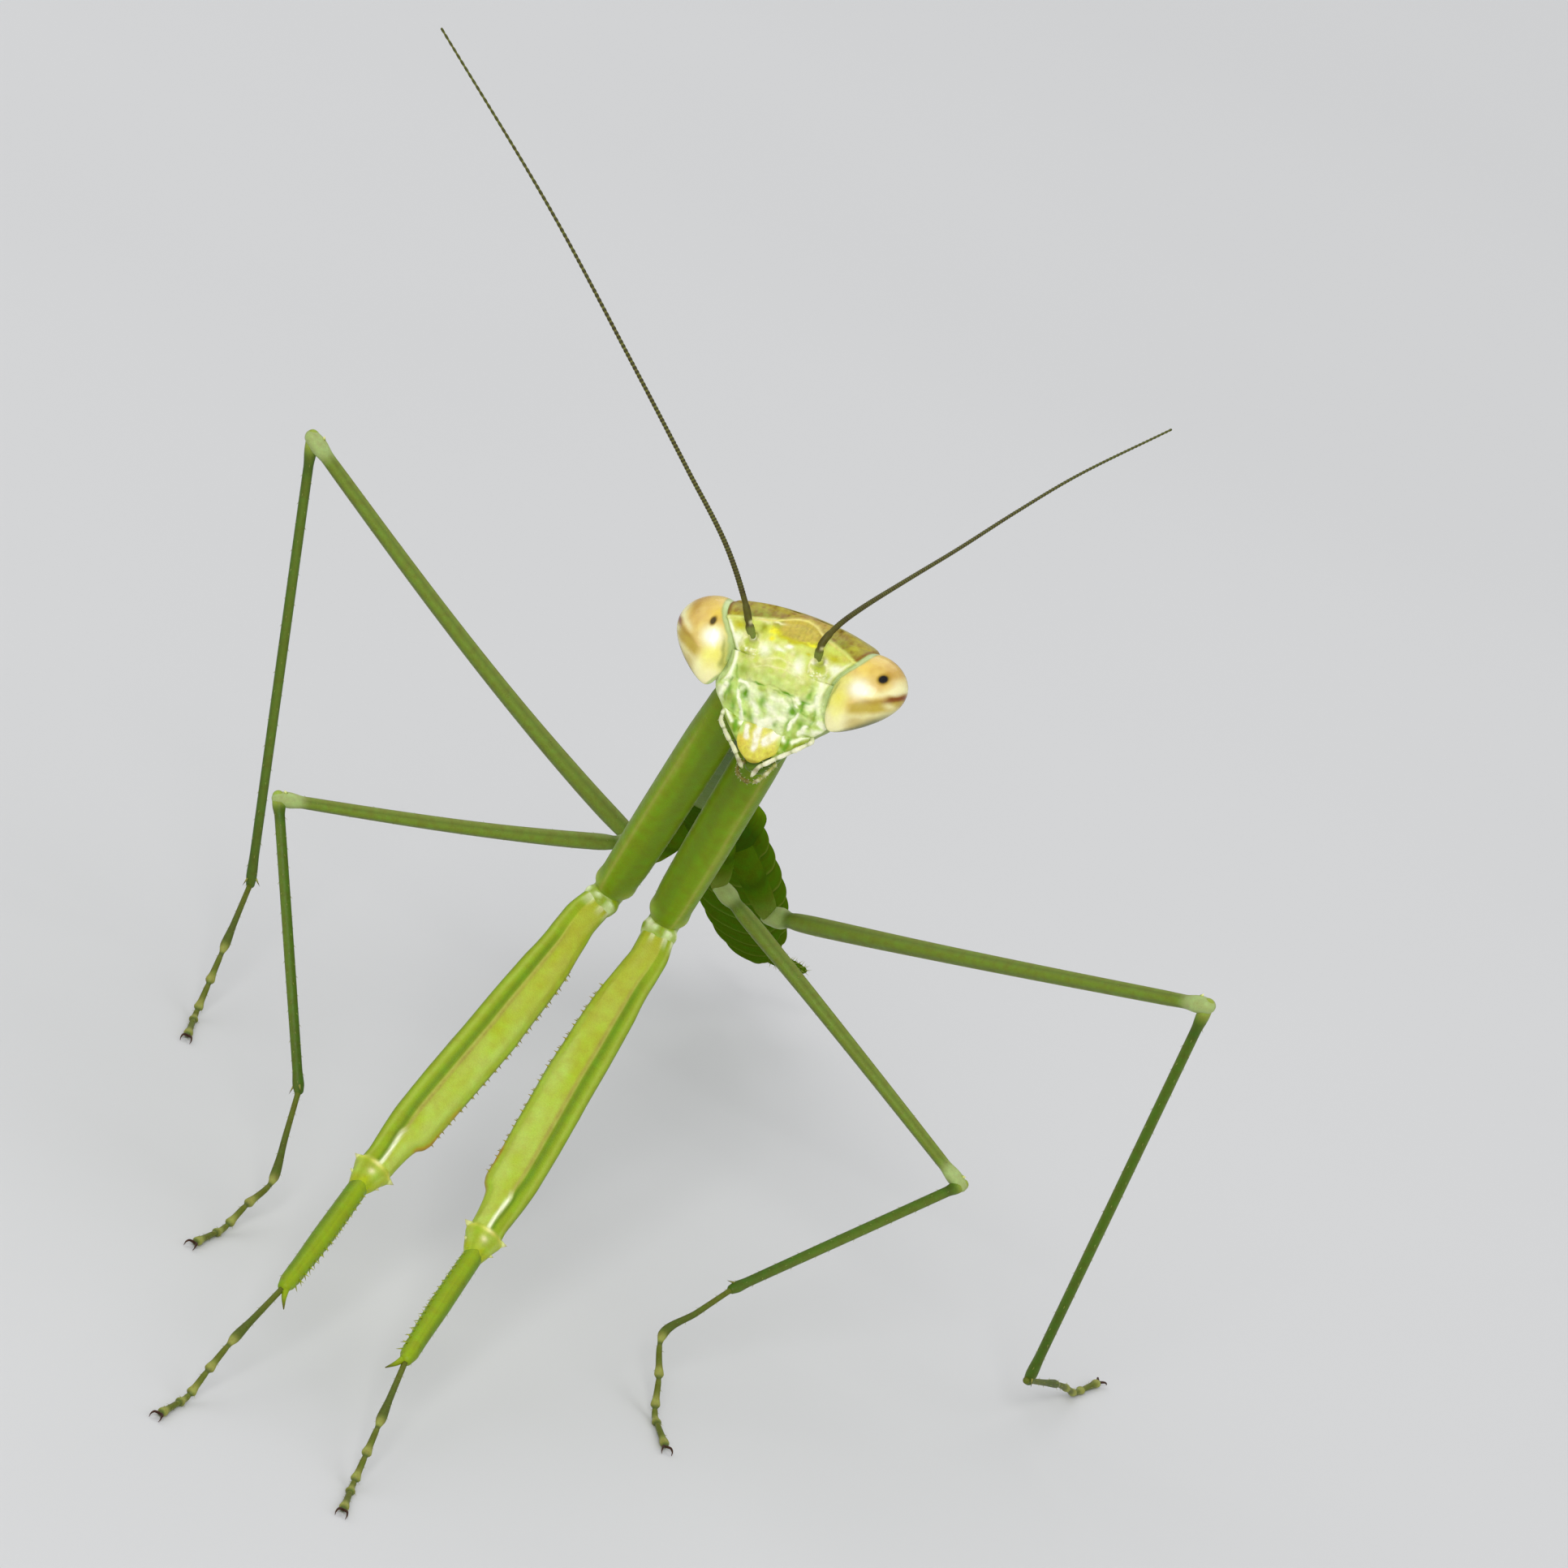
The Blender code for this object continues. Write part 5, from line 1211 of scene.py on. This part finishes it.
def fore_femur(side_name, hip, knee, ankle, facing):
    """A broad flat blade with a convex inner edge and a tan ridge, which ends in a bell over the knee.

    The rows of the profile are given as shares of the way to the knee, and the bell goes beyond it.
    """
    whole = FORE_FEMUR + KNEE_BELL
    rows = [(0.02, 0.3, 0.34, 0.24), (0.05, 0.31, 0.42, 0.25), (0.108, 0.3, 0.49, 0.26),
            (0.15, 0.35, 0.49, 0.27), (0.2, 0.42, 0.47, 0.28), (0.29, 0.52, 0.49, 0.29),
            (0.42, 0.59, 0.5, 0.3), (0.51, 0.63, 0.49, 0.3), (0.68, 0.64, 0.47, 0.29),
            (0.79, 0.64, 0.44, 0.28), (0.825, 0.65, 0.42, 0.27), (0.848, 0.61, 0.4, 0.27),
            (0.868, 0.5, 0.38, 0.26), (0.905, 0.45, 0.34, 0.25), (0.955, 0.42, 0.3, 0.24),
            (0.983, 0.43, 0.32, 0.25), (0.995, 0.46, 0.37, 0.26), (1.02, 0.39, 0.31, 0.25),
            (1.045, 0.33, 0.27, 0.22), (1.075, 0.23, 0.21, 0.19)]
    profile = [(share * FORE_FEMUR / whole, a, b, c) for share, a, b, c in rows]
    tube = Tube([hip, hip + (knee - hip) * 0.5, knee, knee + unit(ankle - knee) * KNEE_BELL], profile, facing,
                rows=300, around=72, power=2.2)
    q, u = tube.along * whole / FORE_FEMUR, tube.across
    blade = ramp(q, 0.1, 0.2) * (1 - ramp(q, 0.9, 0.95))
    ripple = cloud(q * 8, tube.spin, 0.35, 43)
    tube.swell(blade * (0.03 * bump(u + 0.24, 0.06) - 0.03 * bump(u + 0.4, 0.1) - 0.022 * bump(u - 0.02, 0.16)
                        - 0.02 * bump(u - 0.8, 0.08))
               + 0.006 * ripple - 0.012 * bump(q - 0.978, 0.008))
    line = 0.25 - 0.3 * ramp(q, 0.78, 0.98)
    t = plain(q.shape, "lime")
    t = paint(t, "mint", 0.5 + 0.45 * ramp(u, 0.1, 0.65) * ramp(q, 0.25, 0.55) + 0.35 * ripple)
    t = paint(t, "vertex", 0.35 * (1 - ramp(q, 0.25, 0.5)))
    t = paint(t, "leaf_light", 0.55 * ramp(u, 0.72, 0.86))
    t = paint(t, "leaf", 0.55 * ramp(u, 0.92, 0.99) * (1 - ramp(q, 0.7, 0.76)))
    t = paint(t, "leaf_light", 0.9 * ramp(-u, line + 0.05, line + 0.11))
    t = paint(t, "leaf", 0.95 * bump(u + line + 0.22, 0.13) * ramp(q, 0.12, 0.25))
    t = paint(t, "mint", 0.5 * bump(u + 0.78, 0.09))
    t = paint(t, "leaf", 0.55 * ramp(-u, 0.9, 0.99))
    t = paint(t, "tan_dark", 0.85 * bump(u + line - 0.06, 0.05) * ramp(q, 0.1, 0.25)
              * (1 - ramp(q, 0.78, 0.86)))
    t = paint(t, "tan", 0.95 * bump(u + line, 0.06) * ramp(q, 0.1, 0.25) * (1 - ramp(q, 0.84, 0.9)))
    # a white highlight painted along the end of the ridge line, near the knee
    t = paint(t, "white", 1.1 * bump(u + line, 0.09) * ramp(q, 0.84, 0.89) * (1 - ramp(q, 0.985, 1.0)))
    t = paint(t, "eye_brown", 0.85 * ramp(u, 0.8, 0.95) * ramp(q, 0.68, 0.76) * (1 - ramp(q, 0.86, 0.9))
              * (0.8 + 1.5 * ripple))
    t = paint(t, "white", 0.55 * (1 - ramp(q, 0.04, 0.09)) * ramp(ripple, -0.2, 0.4))
    bell = ramp(q, 0.975, 0.99)
    t = paint(t, "mint", 0.7 * bell)
    t = paint(t, "lime", 0.6 * bell * (0.4 + ripple) + 0.7 * ramp(q, 1.04, 1.075))
    t = paint(t, "lemon", 0.7 * bump(q - 0.992, 0.008))
    t = paint(t, "leaf_light", 0.6 * bell * bump(np.abs(u) - 0.55, 0.22))
    # the cream spot in the middle of the bell is a painted highlight; the cream at the collar is its pale
    # joint
    t = paint(t, "cream", 0.8 * bump(q - 1.03, 0.01) * bump(u, 0.2)
              + 0.6 * bump(q - 0.99, 0.008) * bump(u + 0.05, 0.2))
    parts = [tube.skin(t)]
    places = np.linspace(0.24, 0.82, FEMUR_SPINES) * FORE_FEMUR / whole
    for spin, long_spine, short_spine in ((14, 0.15, 0.08), (-14, 0.08, 0.14), (0, 0.06, 0.1)):
        size = np.where(np.arange(FEMUR_SPINES) % 2 == 0, long_spine, short_spine)
        parts.append(tube.spines(places, spin, 0.15, size, 0.016 + 0.1 * size,
                                 "leaf_light", "eye_brown", sides=6))
    for place, spin, size, thick in BELL_HORNS:
        roots, out, on = tube.at(place * FORE_FEMUR / whole, spin)
        parts.append(spines(roots - out * 0.03, out - 0.25 * on, size, thick, "mint", "cream", sides=10))
    put("fore_femur_" + side_name, parts, "green_cuticle")


# %% Tibia of a grasping leg
def fore_tibia(side_name, knee, ankle, claw_tip, facing):
    """A slim bright tube with a comb of spines on the inner side, and one strong hook at its end."""
    along = unit(ankle - knee)
    rows = [(0.0, 0.17, 0.17, 0.17), (0.05, 0.22, 0.21, 0.2), (0.1, 0.19, 0.18, 0.18), (0.2, 0.23, 0.2, 0.2),
            (0.55, 0.25, 0.2, 0.2), (0.85, 0.21, 0.18, 0.19), (0.95, 0.19, 0.18, 0.18),
            (1.0, 0.15, 0.14, 0.15)]
    tube = Tube([knee - along * 0.1, ankle], rows, facing, rows=150, around=40)
    q, u = tube.along, tube.across
    tube.swell(-0.02 * bump(q - 0.1, 0.02) + 0.012 * bump(u + 0.3, 0.1) * ramp(q, 0.15, 0.3)
               + 0.01 * ramp(u, 0.8, 0.95) * np.sin(q * 150) * ramp(q, 0.15, 0.2))
    t = plain(q.shape, "leaf_light")
    t = paint(t, "leaf", 0.3)
    t = paint(t, "lime", 0.3 * bump(u - 0.1, 0.35))
    t = paint(t, "leaf", 0.9 * ramp(-u, 0.3, 0.8) + 0.45 * ramp(u, 0.7, 0.95))
    t = paint(t, "leaf", 0.5 * bump(u + 0.05, 0.06) * ramp(q, 0.2, 0.4))
    t = paint(t, "cream", 0.85 * (1 - ramp(q, 0.03, 0.09)))
    t = paint(t, "leaf", 0.6 * bump(q - 0.1, 0.02))
    t = paint(t, "leaf_light", 0.5 * ramp(q, 0.9, 1.0))
    parts = [tube.skin(t)]
    for spin, count in ((30, 17), (-30, 15)):
        places = np.linspace(0.16, 0.93, count)
        parts.append(tube.spines(places, spin, 0.45, 0.09 + 0.09 * places, 0.024,
                                 "leaf_light", "tan", sides=6))
    back_side = 120 + np.arange(26) * 47 % 120
    parts.append(tube.spines(np.linspace(0.1, 0.98, 26), back_side, 1.2, 0.1, 0.008, "straw", sides=4))
    hook_root = ankle - along * 0.15 + unit(claw_tip - ankle) * 0.02
    hook = Tube([hook_root, ankle + (claw_tip - ankle) * 0.45, claw_tip],
                round_rows((0.0, 0.09), (0.5, 0.06), (1.0, 0.012)), facing, rows=24, around=14)
    h = paint(plain(hook.along.shape, "leaf_light"), "claw", 0.8 * ramp(hook.along, 0.5, 1.0))
    parts.append(hook.skin(h))
    put("fore_tibia_" + side_name, parts, "green_cuticle")


# %% [markdown]
# ## Feet
# A foot has five joints. The first is as long as all the others, and each one widens into a small pad at its
# end, where it touches what the animal walks on. The last carries two curved claws. The foot comes down from
# the ankle and its last joints lie level on the ground.

# %% One foot
JOINT_ENDS = (0.46, 0.61, 0.73, 0.83, 1.0)
LEVEL_TOES, FIRST_JOINT = 1.1, 0.42


def foot(prefix, side_name, ankle, joint, tip):
    """A jointed tube: its radius grows to each joint's end and pinches in after it. Two claws curl down."""
    radius = FOOT_RADIUS
    tip = np.array([tip[0], tip[1], radius * 1.15])
    back = unit(np.array([joint[0] - tip[0], joint[1] - tip[1], 0.0]))
    bend = tip + back * LEVEL_TOES
    path = [ankle - unit(joint - ankle) * 0.12, ankle + (joint - ankle) * 0.5, joint,
            joint + (bend - joint) * 0.5, bend, tip]
    rows, start = [(0.0, 1.0, 1.0)], 0.0
    for end in JOINT_ENDS:
        span = end - start
        rows += [(start + 0.12 * span, 0.72, 0.72), (start + 0.6 * span, 0.85, 0.85),
                 (start + 0.88 * span, 1.25, 1.05),
                 (end, 0.62, 0.62)]
        start = end
    profile = oval_rows(*((place, radius * reach, radius * thick) for place, reach, thick in rows))
    tube = Tube(path, profile, rows=190, around=16)
    q = tube.along
    t = plain(q.shape, "horn")
    for end in JOINT_ENDS:
        t = paint(t, "straw", 0.8 * bump(q - end + 0.025, 0.028))
        t = paint(t, "olive_dark", 0.7 * bump(q - end, 0.008))
    t = paint(t, "olive_dark", 0.35 * ramp(q, 0.1, 0.3) * (1 - ramp(q, 0.38, 0.44)))
    parts = [tube.skin(t), tube.hairs(0.04, 0.96, 46, 0.8, 0.075, 0.007)]
    heading = -back
    sideways = np.cross(heading, [0, 0, 1.0])
    for way in (-1, 1):
        root = tip + heading * radius * 0.2
        claw = Tube([root, root + heading * 0.1 + sideways * way * 0.09 + [0, 0, 0.03],
                     root + heading * 0.2 + sideways * way * 0.12 - [0, 0, 0.02],
                     root + heading * 0.24 + sideways * way * 0.11 - [0, 0, 0.065]],
                    round_rows((0.0, 0.034), (0.5, 0.024), (1.0, 0.005)), rows=14, around=8)
        parts.append(claw.skin(plain(claw.along.shape, "claw")))
    put(f"{prefix}_tarsus_{side_name}", parts, "foot_cuticle")


# %% Both grasping legs
HOOK_AHEAD, HOOK_INWARD = 0.55, 0.26


def chain(start, pose, lengths):
    """The points of a leg: from its start, one step after another along the direction of each part."""
    points = [np.array(start)]
    for part, length in lengths.items():
        points.append(points[-1] + aim(*pose[part]) * length)
    return points


for side_name, side in SIDES.items():
    pose = FORE_POSE[side_name]
    facing = aim(0.0, 20.0) * side
    base, hip, knee, ankle, tip = chain(pose["base"], pose, FORE_LENGTHS)
    shin = aim(*pose["tibia"])
    inner = unit(np.cross(shin, facing))
    fore_coxa(side_name, base, hip, facing)
    fore_trochanter(side_name, hip, aim(*pose["femur"]), facing)
    fore_femur(side_name, hip, knee, ankle, facing)
    fore_tibia(side_name, knee, ankle, ankle + shin * HOOK_AHEAD + inner * HOOK_INWARD, facing)
    foot("fore", side_name, ankle, ankle + (tip - ankle) * FIRST_JOINT, tip)

# %% [markdown]
# ## The walking legs
# The middle and hind legs are stilts: a short coxa under the body, a slender ridged femur with a pale knee,
# and a thinner tibia with fine bristles. Four low ridges run along a femur, a cosine of four times the angle.

# %% Coxa and femur of a stilt
KNOB = 0.45
KNEE_LOBES_AT = [0.985, 0.985]


def stilt_coxa(name, root, knot):
    """A short olive tube, paler where the femur starts."""
    coxa = Tube([root, knot], round_rows((0.0, 0.26), (0.45, 0.3), (0.85, 0.25), (1.0, 0.18)),
                rows=50, around=28)
    t = paint(plain(coxa.along.shape, "olive"), "olive_grey", 0.7 * ramp(coxa.along, 0.6, 1.0))
    t = paint(t, "olive_dark", 0.5 * bump(coxa.along - 0.5, 0.08))
    put(name, [coxa.skin(t)], "olive_cuticle")


def stilt_femur(name, knot, knee, stout, bow):
    """Four low ridges, a cosine of four times the angle. Stout widens it, and bow moves its middle."""
    knob = KNOB / np.linalg.norm(knee - knot)
    profile = np.array(oval_rows((0.0, 0.17, 0.17), (knob * 0.7, 0.22, 0.2), (knob * 1.3, 0.17, 0.16),
                                 (knob * 2.4, 0.19, 0.17), (0.4, 0.17, 0.15), (0.8, 0.145, 0.13),
                                 (1 - 1.3 * knob, 0.135, 0.125), (1 - 0.5 * knob, 0.185, 0.16),
                                 (1.0, 0.16, 0.14)))
    profile[:, 1:] *= stout
    shares = np.linspace(0, 1, 9)[:, None]
    path = knot + (knee - knot) * shares + np.array(bow) * np.sin(math.pi * shares ** 0.8)
    femur = Tube(path, profile, rows=200, around=24)
    q = femur.along
    femur.swell(0.01 * np.cos(4 * femur.spin) * ramp(q, 2 * knob, 3 * knob) * (1 - ramp(q, 0.9, 0.95))
                - 0.02 * bump(q - 1.3 * knob, 0.3 * knob))
    t = paint(plain(q.shape, "olive_grey"), "leaf", 0.45 * (0.5 + 0.5 * np.cos(2 * femur.spin)))
    # darker olive painted as shade in the grooves between the four ridges
    t = paint(t, "olive_dark", 0.3 * bump(np.cos(4 * femur.spin) + 1, 0.5) * np.ones_like(q))
    t = paint(t, "turquoise", 0.4 * (1 - ramp(q, knob, 1.5 * knob)))
    t = paint(t, "olive", 0.6 * bump(q - 1.3 * knob, 0.3 * knob))
    t = paint(t, "turquoise", 0.55 * ramp(q, 1 - 1.6 * knob, 1 - 0.8 * knob))
    parts = [femur.skin(t), femur.hairs(0.08, 0.94, 60, 1.5, 0.07, 0.007),
             femur.spines(KNEE_LOBES_AT, [90, 270], 0.8, 0.09, 0.05, "mint", "cream", sides=6)]
    put(name, parts, "leg_cuticle")


print("the pale knob at the start of a femur is", KNOB, "mm long")

# %% Tibia of a stilt, and the four walking legs
STILT_DROP = 0.45
SPURS_AT = [0.985, 0.985]


def stilt_tibia(name, knee, ankle):
    """A thin bristly tube with a pale start and two spurs at its end."""
    tibia = Tube([knee - unit(ankle - knee) * 0.05, ankle],
                 oval_rows((0.0, 0.13, 0.13), (0.03, 0.145, 0.14), (0.07, 0.115, 0.11), (0.5, 0.115, 0.11),
                           (0.93, 0.11, 0.105), (0.98, 0.13, 0.12), (1.0, 0.11, 0.1)), rows=170, around=20)
    q = tibia.along
    t = paint(plain(q.shape, "olive"), "olive_grey",
              0.4 * (0.5 + 0.5 * np.cos(2 * tibia.spin)) * np.ones_like(q))
    t = paint(t, "mint", 0.6 * (1 - ramp(q, 0.01, 0.05)))
    t = paint(t, "olive_dark", 0.4 * bump(q - 0.07, 0.02) + 0.3 * ramp(q, 0.6, 0.95))
    parts = [tibia.skin(t), tibia.hairs(0.06, 0.97, 72, 1.3, 0.085, 0.008),
             tibia.spines(SPURS_AT, [60, 300], 1.4, 0.2, 0.028, "straw", "claw", sides=6)]
    put(name, parts, "leg_cuticle")


def walking_leg(prefix, side_name, pose, lengths, mark, out, stout):
    """All parts of one leg, whose root is at a mark along the two short rings and some way out from it."""
    # a foot that is one length in the pose bends at the end of its first joint
    knot, knee, ankle, *toes, tip = chain(pose["knot"], pose, lengths)
    joint = toes[0] if toes else ankle + (tip - ankle) * FIRST_JOINT
    root = (prothorax_end + aim(HIND_AZIMUTH, PTEROTHORAX_PITCH) * mark
            + [out * SIDES[side_name], 0, -STILT_DROP])
    stilt_coxa(f"{prefix}_coxa_{side_name}", root, knot)
    stilt_femur(f"{prefix}_femur_{side_name}", knot, knee, stout, BOW[prefix][side_name])
    stilt_tibia(f"{prefix}_tibia_{side_name}", knee, ankle)
    foot(prefix, side_name, ankle, joint, tip)


for side_name in SIDES:
    walking_leg("mid", side_name, MID_POSE[side_name], MID_LENGTHS, mark=1.2, out=0.45, stout=1.05)
    walking_leg("hind", side_name, HIND_POSE[side_name], HIND_LENGTHS, mark=3.4, out=0.5, stout=1.2)

print(triangles_in_all, "triangles in all")

# %% [markdown]
# ## Floor, light and camera
# The model stands on a wide pale floor. Large soft lamps far away on all sides keep the shadows weak, so the
# model looks right from anywhere. The strongest stands in front and above, near the camera, because the face
# is the brightest part. The camera is a long lens close to the animal, rolled a little to the left.

# %% A pale floor
floor_mesh = bpy.data.meshes.new("floor")
FLOOR_HALF = 4
floor_mesh.from_pydata([(x * FLOOR_HALF, y * FLOOR_HALF, 0) for x, y in ((-1, -1), (1, -1), (1, 1), (-1, 1))],
                       [], [(0, 1, 2, 3)])
floor = bpy.data.objects.new("floor", floor_mesh)
bpy.context.scene.collection.objects.link(floor)
paper = bpy.data.materials.new("floor_paper")
paper.use_nodes = True
sheet_nodes, sheet_links = paper.node_tree.nodes, paper.node_tree.links
grain, tint = sheet_nodes.new("ShaderNodeTexNoise"), sheet_nodes.new("ShaderNodeMapRange")
fill(sheet_links, grain, {"Scale": 300})
fill(sheet_links, tint, {"To Min": 0.66, "To Max": 0.69, "Value": grain.outputs["Fac"]})
fill(sheet_links, sheet_nodes["Principled BSDF"], {"Base Color": tint.outputs["Result"], "Roughness": 0.8})
floor_mesh.materials.append(paper)

# %% Soft light from every side
world = bpy.data.worlds.new("studio")
bpy.context.scene.world = world
world.use_nodes = True
sky = world.node_tree.nodes["Background"]
sky.inputs["Color"].default_value = (0.95, 0.97, 1.0, 1.0)
sky.inputs["Strength"].default_value = 0.42
MODEL_MIDDLE = 0.012


def lamp(name, azimuth, elevation, distance, size, watts):
    """A square soft lamp that looks at the animal from a direction."""
    light = bpy.data.lights.new(name, "AREA")
    light.shape, light.size, light.energy = "SQUARE", size, watts
    holder = bpy.data.objects.new(name, light)
    out = aim(azimuth, elevation)
    holder.location = tuple(out * distance + np.array([0, 0, MODEL_MIDDLE]))
    holder.rotation_mode = "QUATERNION"
    holder.rotation_quaternion = Vector(tuple(-out)).to_track_quat("-Z", "Y")
    bpy.context.scene.collection.objects.link(holder)


lamp("lamp_front", -5.0, 34.0, 0.7, 0.3, 2.6)
lamp("lamp_left", 80.0, 45.0, 0.8, 0.6, 1.0)
lamp("lamp_right", -95.0, 45.0, 0.8, 0.6, 1.0)
lamp("lamp_back", 180.0, 50.0, 0.8, 0.6, 1.2)

# %% The camera
EYE_POINT = np.array([-6.238, -197.312, 83.568]) * MM
LOOK_AT = np.array([0.022, -9.478, 15.161]) * MM
ROLL = math.radians(24.88)
FIELD = math.radians(9.018)
view_along = unit(LOOK_AT - EYE_POINT)
level = unit(np.cross(view_along, [0, 0, 1.0]))
upright = np.cross(level, view_along)
picture_right = level * math.cos(ROLL) + upright * math.sin(ROLL)
picture_up = upright * math.cos(ROLL) - level * math.sin(ROLL)
camera_data = bpy.data.cameras.new("camera")
camera = bpy.data.objects.new("camera", camera_data)
bpy.context.scene.collection.objects.link(camera)
turned = Matrix([[picture_right[k], picture_up[k], -view_along[k]] for k in range(3)])
camera.rotation_mode = "QUATERNION"
camera.location = tuple(EYE_POINT)
camera.rotation_quaternion = turned.to_quaternion()
camera_data.lens_unit = "FOV"
camera_data.angle = FIELD
camera_data.clip_start = 0.001
camera_data.dof.use_dof = False
bpy.context.scene.camera = camera
bpy.context.scene.view_settings.view_transform = "Standard"
print("the lens is", round(camera_data.lens), "mm")
